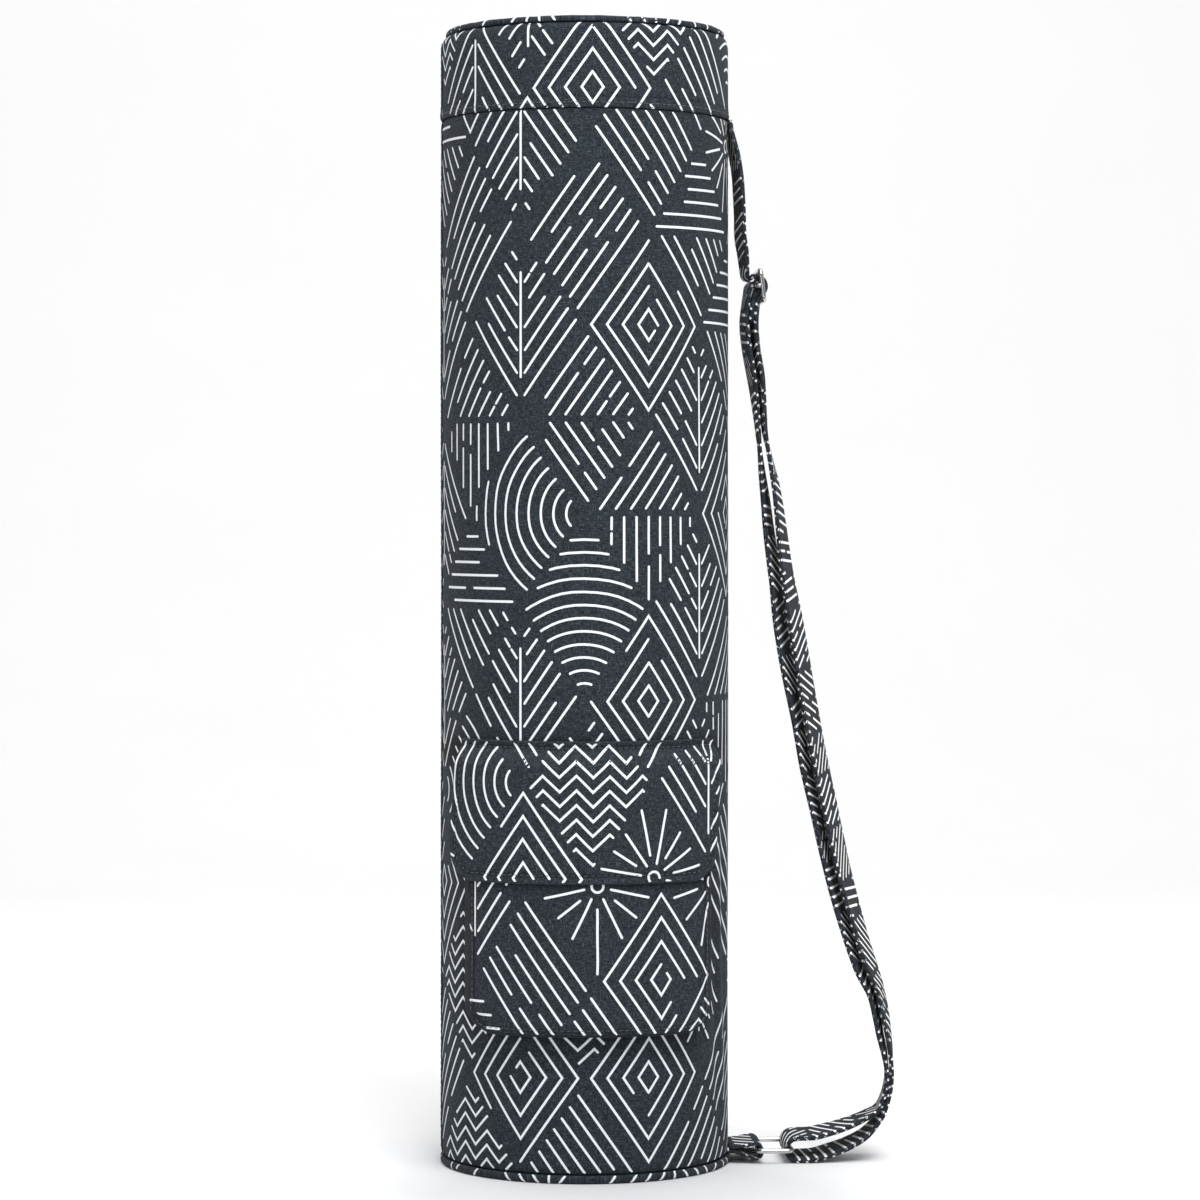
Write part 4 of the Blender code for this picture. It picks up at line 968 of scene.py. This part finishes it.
class Strip:
    """A flat strip of sewn cloth along rows of (x, z, x and z of its width direction), with both faces"""

    def __init__(self, rows, thickness, hug):
        self.route = Route(rows)
        self.half = thickness / 2
        self.hug = hug

    def place(self, face):
        """The place function of one face, +1 or -1"""
        def place(a, b, lift):
            (x, z, wx, wz), (dx, dz, _, _) = self.route.at(b)
            width = Vector((wx, math.sqrt(max(0.0, 1 - wx * wx - wz * wz)), wz))
            normal = Vector((dx, 0.0, dz)).normalized().cross(width)
            groove = 0.26 * bell(abs(a) - STRAP_HALF + STITCH_INSET, 0.75) * (1.0 + 0.7 * ripple(a, b, 0, 5.5, 9))
            turn = min(1.0, max(0.0, abs(a) - STRAP_HALF + 1.1) / 1.1)
            puff = (self.half - groove) * math.sqrt(1 - turn * turn)
            recess = RADIUS - math.sqrt(RADIUS ** 2 - a * a)
            point = Vector((x - recess * self.hug(x, z, b) ** 2, 0.0, z)) + width * (a + math.copysign(lift * turn, a)) \
                + normal * (face * (puff + lift * math.sqrt(1 - turn * turn)))
            point += normal * 0.10 * ripple(a, b, 0, 16, 10)
            return point * MM
        return place

    def cloth(self, name, step, node):
        """The strip as one closed skin"""
        cloth = Cloth()
        across = [-19.0, -18.93, -18.7, -18.3, -17.7, -17.0, -16.6, -16.1, -15.6, -15.1, -14.2, -10.0, -5.0, 0.0]
        across += [-a for a in across[-2::-1]]
        faces = ((self.place(1), across), (self.place(-1), across[-2:0:-1]))
        rows = []
        for b in even(0, self.route.length, step):
            # Strap cloth: a little paler along its worn edges, and darkened by painted shade in its stitch grooves
            rows.append([cloth.vert(place(a, b, 0.0), (a, b), 0.1 if abs(a) > 18.2 else -0.7 * (abs(abs(a) - 16.1) < 0.3))
                         for place, spots in faces for a in spots])
        cloth.tube(rows)
        return cloth.piece(name, strap_canvas, "strap_canvas", node)

    def dress(self, name, seed, low, high):
        """Print and sewing on both faces"""
        sewing = []
        for face, label in ((1, "outer"), (-1, "inner")):
            ribbons(name + "_print_" + label, strap_design(self.route.length, seed + face), self.place(face),
                    lambda a, b: abs(a) < 18.99 and low < b < high, strap_ink_painted_highlight, "strap_canvas", 1.55, 0.10, 0.8)
            for a in (-STRAP_HALF + STITCH_INSET, STRAP_HALF - STITCH_INSET):
                sewing.append((self.place(face), [(a, b) for b in even(low + 1, high - 1, 8)]))
        stitches(name + "_stitching", sewing, thread, "strap_canvas", thick=0.24)


strap = Strip(STRAP_ROWS, STRAP_THICK, lambda x, z, b: max(0.0, 1 - (616.7 - z) / 38.0) if b < 60 else 0.0)
strap.cloth("strap_cloth", 1.6, "shoulder_strap")
strap.dress("strap", 71, 0.5, strap.route.length - 0.5)
tab = Strip([(x, z, 0.0, 0.0) for x, z in TAB_ROWS], TAB_THICK, lambda x, z, b: max(0.0, 1 - (x - 86.2) / 1.9))
tab.cloth("tab_cloth", 0.8, "ring_tab")
tab.dress("tab", 81, 2.0, tab.route.length - 2.0)


# Metal


def bent_wire(name, loops, node, radius=1.5):
    """Round wires along closed or open rows of points, as one piece"""
    cloth = Cloth()
    for points, closed in loops:
        count = len(points)
        rings = []
        side = None
        for index, point in enumerate(points):
            before = points[index - 1] if closed or index else points[0]
            after = points[(index + 1) % count] if closed or index < count - 1 else points[-1]
            way = (after - before).normalized()
            side = (side - way * side.dot(way) if side else Vector((0.3, 0.2, 0.9)).cross(way)).normalized()
            up = way.cross(side)
            ring = [side * math.cos(TAU * k / 14) + up * math.sin(TAU * k / 14) for k in range(14)]
            rings.append([cloth.vert((point + spoke * radius) * MM, (index, k)) for k, spoke in enumerate(ring)])
        if closed:
            cloth.grid(rings + rings[:1], closed=True)
        else:
            cloth.tube(rings)
    return cloth.piece(name, nickel, "nickel", node)


def corner_arcs(half_long, half_wide, corner, steps):
    """The four rounded corners of a rectangle, as rows of points"""
    return [[(sx * (half_long - corner) + corner * math.cos(math.pi / 2 * (turn + k / steps)),
              sy * (half_wide - corner) + corner * math.sin(math.pi / 2 * (turn + k / steps))) for k in range(steps + 1)]
            for turn, (sx, sy) in enumerate(((1, 1), (-1, 1), (-1, -1), (1, -1)))]


def rounded_loop(half_long, half_wide, corner, steps=7):
    """Points round a rectangle with rounded corners, in its own plane"""
    corners = corner_arcs(half_long, half_wide, corner, steps)
    points = []
    for arc, after in zip(corners, corners[1:] + corners[:1]):
        ahead, goal = arc[-1], after[0]
        points += arc + [tuple(a + (b - a) * k / 6 for a, b in zip(ahead, goal)) for k in range(1, 6)]
    return points


LEAN = math.radians(7)
DOWN, OUT = Vector((math.sin(LEAN), 0, -math.cos(LEAN))), Vector((math.cos(LEAN), 0, math.sin(LEAN)))
centre = Vector((103.82, 0, 518.97))
frame_loop = [centre + DOWN * a + Vector((0, b, 0)) for a, b in rounded_loop(8.899, 21.5, 3.0)]
bar = [(0.0, 21.3, -0.2), (0.0, 21.3, -1.8), (0.0, 20.9, -2.9), (0.0, 20.0, -3.5), (0.0, 18.6, -3.6)]
bar = [centre + OUT * c + Vector((0, b, 0)) + DOWN * a for a, b, c in
       bar + [(0.0, y, -3.6) for y in (12, 6, 0, -6, -12)] + [(a, -b, c) for a, b, c in bar[::-1]]]
bent_wire("slider_wire", [(frame_loop, True), (bar, False)], "strap_slider")
middle = Vector((111.45, 0, 8.0))
ring_loop = [middle + Vector((a, b, 0)) for a, b in rounded_loop(10.25, 21.5, 3.0)]
bent_wire("ring_wire", [(ring_loop, True)], "lower_ring")


# The zip

ZIP_RADIUS = 82.7


def zip_place(a, b, lift):
    """The tape behind the slit, a measured from its middle"""
    return on_tube(ZIP_RADIUS + lift - 0.05 * ripple(a, b, 0, 8, 12), SLIT_MIDDLE + a / ZIP_RADIUS, b)


shell("zip_tape", zip_place, [(b, -13.8, 13.8) for b in even(11.5, 658.5, 5.0)], 12, 1.0, "side_zip",
      material=tape, slot="zip_tape")
# One tooth of the coil, as (distance from the middle, lift, size)
TOOTH = ((2.75, 0.25, 0.36), (2.6, 0.95, 0.42), (1.7, 1.45, 0.45), (0.4, 1.5, 0.5), (-0.35, 1.2, 0.42))
COIL_LOW, COIL_HIGH, COIL_PITCH = 19.0, 651.0, 1.55
teeth = Cloth()
for index in range(int((COIL_HIGH - COIL_LOW) / COIL_PITCH)):
    for side in (-1, 1):
        height = COIL_LOW + COIL_PITCH * index + (0.78 if side > 0 else 0.0)
        rings = []
        for a, lift, size in TOOTH:
            rings.append([teeth.vert(zip_place(side * a, height + size * math.cos(TAU * k / 5),
                                               lift + size * math.sin(TAU * k / 5)), (a, height)) for k in range(5)])
        teeth.tube([ring[::-side] for ring in rings])
teeth.piece("zip_coil", nylon, "zip_tape")


def zip_solid(name, sections):
    """A small rounded solid on the zip's middle line, from (height, half width, low, high) sections"""
    cloth = Cloth()
    rings = []
    for height, half, low, high in sections:
        corners = corner_arcs(half, (high - low) / 2, min(half, (high - low) / 2) * 0.6, 3)
        ring = [(a, (low + high) / 2 + out) for corner in corners for a, out in corner]
        rings.append([cloth.vert(on_tube(math.hypot(radius, a), SLIT_MIDDLE + math.atan2(a, radius), height), (a, height))
                      for a, radius in ring])
    cloth.tube(rings)
    return cloth.piece(name, nickel, "nickel")


zip_solid("zip_slider", [(642.3, 2.6, 84.3, 85.5), (642.9, 3.3, 84.2, 86.0), (644.2, 3.7, 84.1, 86.2),
                         (648.0, 3.5, 84.1, 86.2), (651.5, 3.75, 84.1, 86.2), (653.0, 3.3, 84.2, 86.0),
                         (653.6, 2.4, 84.4, 85.6)])
zip_solid("zip_pull", [(624.0, 2.1, 85.5, 86.1), (624.6, 2.9, 85.35, 86.25), (627.0, 3.3, 85.3, 86.3),
                       (640.0, 2.9, 85.3, 86.3), (647.0, 2.2, 85.3, 86.3), (649.4, 1.8, 85.4, 86.25),
                       (649.9, 1.1, 85.5, 86.1)])


# Studio


def sheet(name, points, faces, material):
    """A plain part of the set"""
    mesh = bpy.data.meshes.new(name)
    mesh.from_pydata(points, [], faces)
    mesh.shade_smooth()
    mesh.materials.append(material)
    item = placed(name, mesh)
    return item


paper = Cloth()
bend = [math.radians(k) for k in range(6, 91, 6)]
sweep = [(-6.0, 0.0), (-3.0, 0.0), (0.0, 0.0), (1.6, 0.0)]
sweep += [(1.6 + 1.2 * math.sin(k), 1.2 - 1.2 * math.cos(k)) for k in bend] + [(2.8, 3.0), (2.8, 5.0)]
paper.grid([[paper.vert(Vector((x, y, z)), (x, y)) for x in (-6.0, -2.0, 2.0, 6.0)] for y, z in sweep])
sheet("studio_sweep", paper.points, paper.faces, stage_material())

# Dark cards round the set, so that polished metal has something dark to mirror, and only the metal sees them
flag_cloth = flag_material()
for name, corner, along, up in (("flag_right", (0.50, -1.45, 0.02), (0.40, 0.35, 0.0), (0.0, 0.0, 1.3)),
                                ("flag_left", (-0.95, -1.15, 0.02), (0.42, -0.40, 0.0), (0.0, 0.0, 1.3)),
                                ("flag_high", (-0.60, -1.40, 0.75), (1.40, 0.0, 0.0), (0.0, -0.25, 0.75)),
                                ("flag_low", (-0.50, -0.95, 0.01), (1.30, 0.0, 0.0), (0.0, 0.62, 0.0))):
    base, along, up = Vector(corner), Vector(along), Vector(up)
    card = sheet(name, [base, base + along, base + along + up, base + up], [(0, 1, 2, 3)], flag_cloth)
    card.visible_camera = card.visible_diffuse = card.visible_shadow = False

# Square lights, each aimed at a place on the bag's axis
for name, place, target, size, power in (("key_box", (0.55, -1.75, 2.3), 0.3, (1.5, 1.2), 62.0),
                                         ("fill_box", (-0.9, -2.6, 0.9), 0.3, (1.2, 1.4), 11.0),
                                         ("top_box", (0.0, -0.2, 2.6), 0.2, (2.0, 2.0), 40.0)):
    lamp = bpy.data.lights.new(name, "AREA")
    lamp.shape = "RECTANGLE"
    lamp.size, lamp.size_y = size
    lamp.energy = power
    item = placed(name, lamp)
    item.location = place
    item.rotation_euler = (Vector((0, 0, target)) - Vector(place)).to_track_quat("-Z", "Y").to_euler()

world = bpy.data.worlds.new("studio")
world.use_nodes = True
world.node_tree.nodes["Background"].inputs["Color"].default_value = (1.0, 1.0, 1.0, 1.0)
world.node_tree.nodes["Background"].inputs["Strength"].default_value = 0.50
bpy.context.scene.world = world
bpy.context.scene.view_settings.view_transform = "Standard"

camera = bpy.data.cameras.new("photo_camera")
camera.sensor_width = 36.0
camera.lens = 115.83
camera.shift_y = -80 / 1200
camera.clip_end = 50.0
viewer = placed("photo_camera", camera)
viewer.location = (-0.0912, -2.2932, 0.3804)
viewer.rotation_euler = (math.radians(90), 0.0, math.radians(-2.5))
bpy.context.scene.camera = viewer
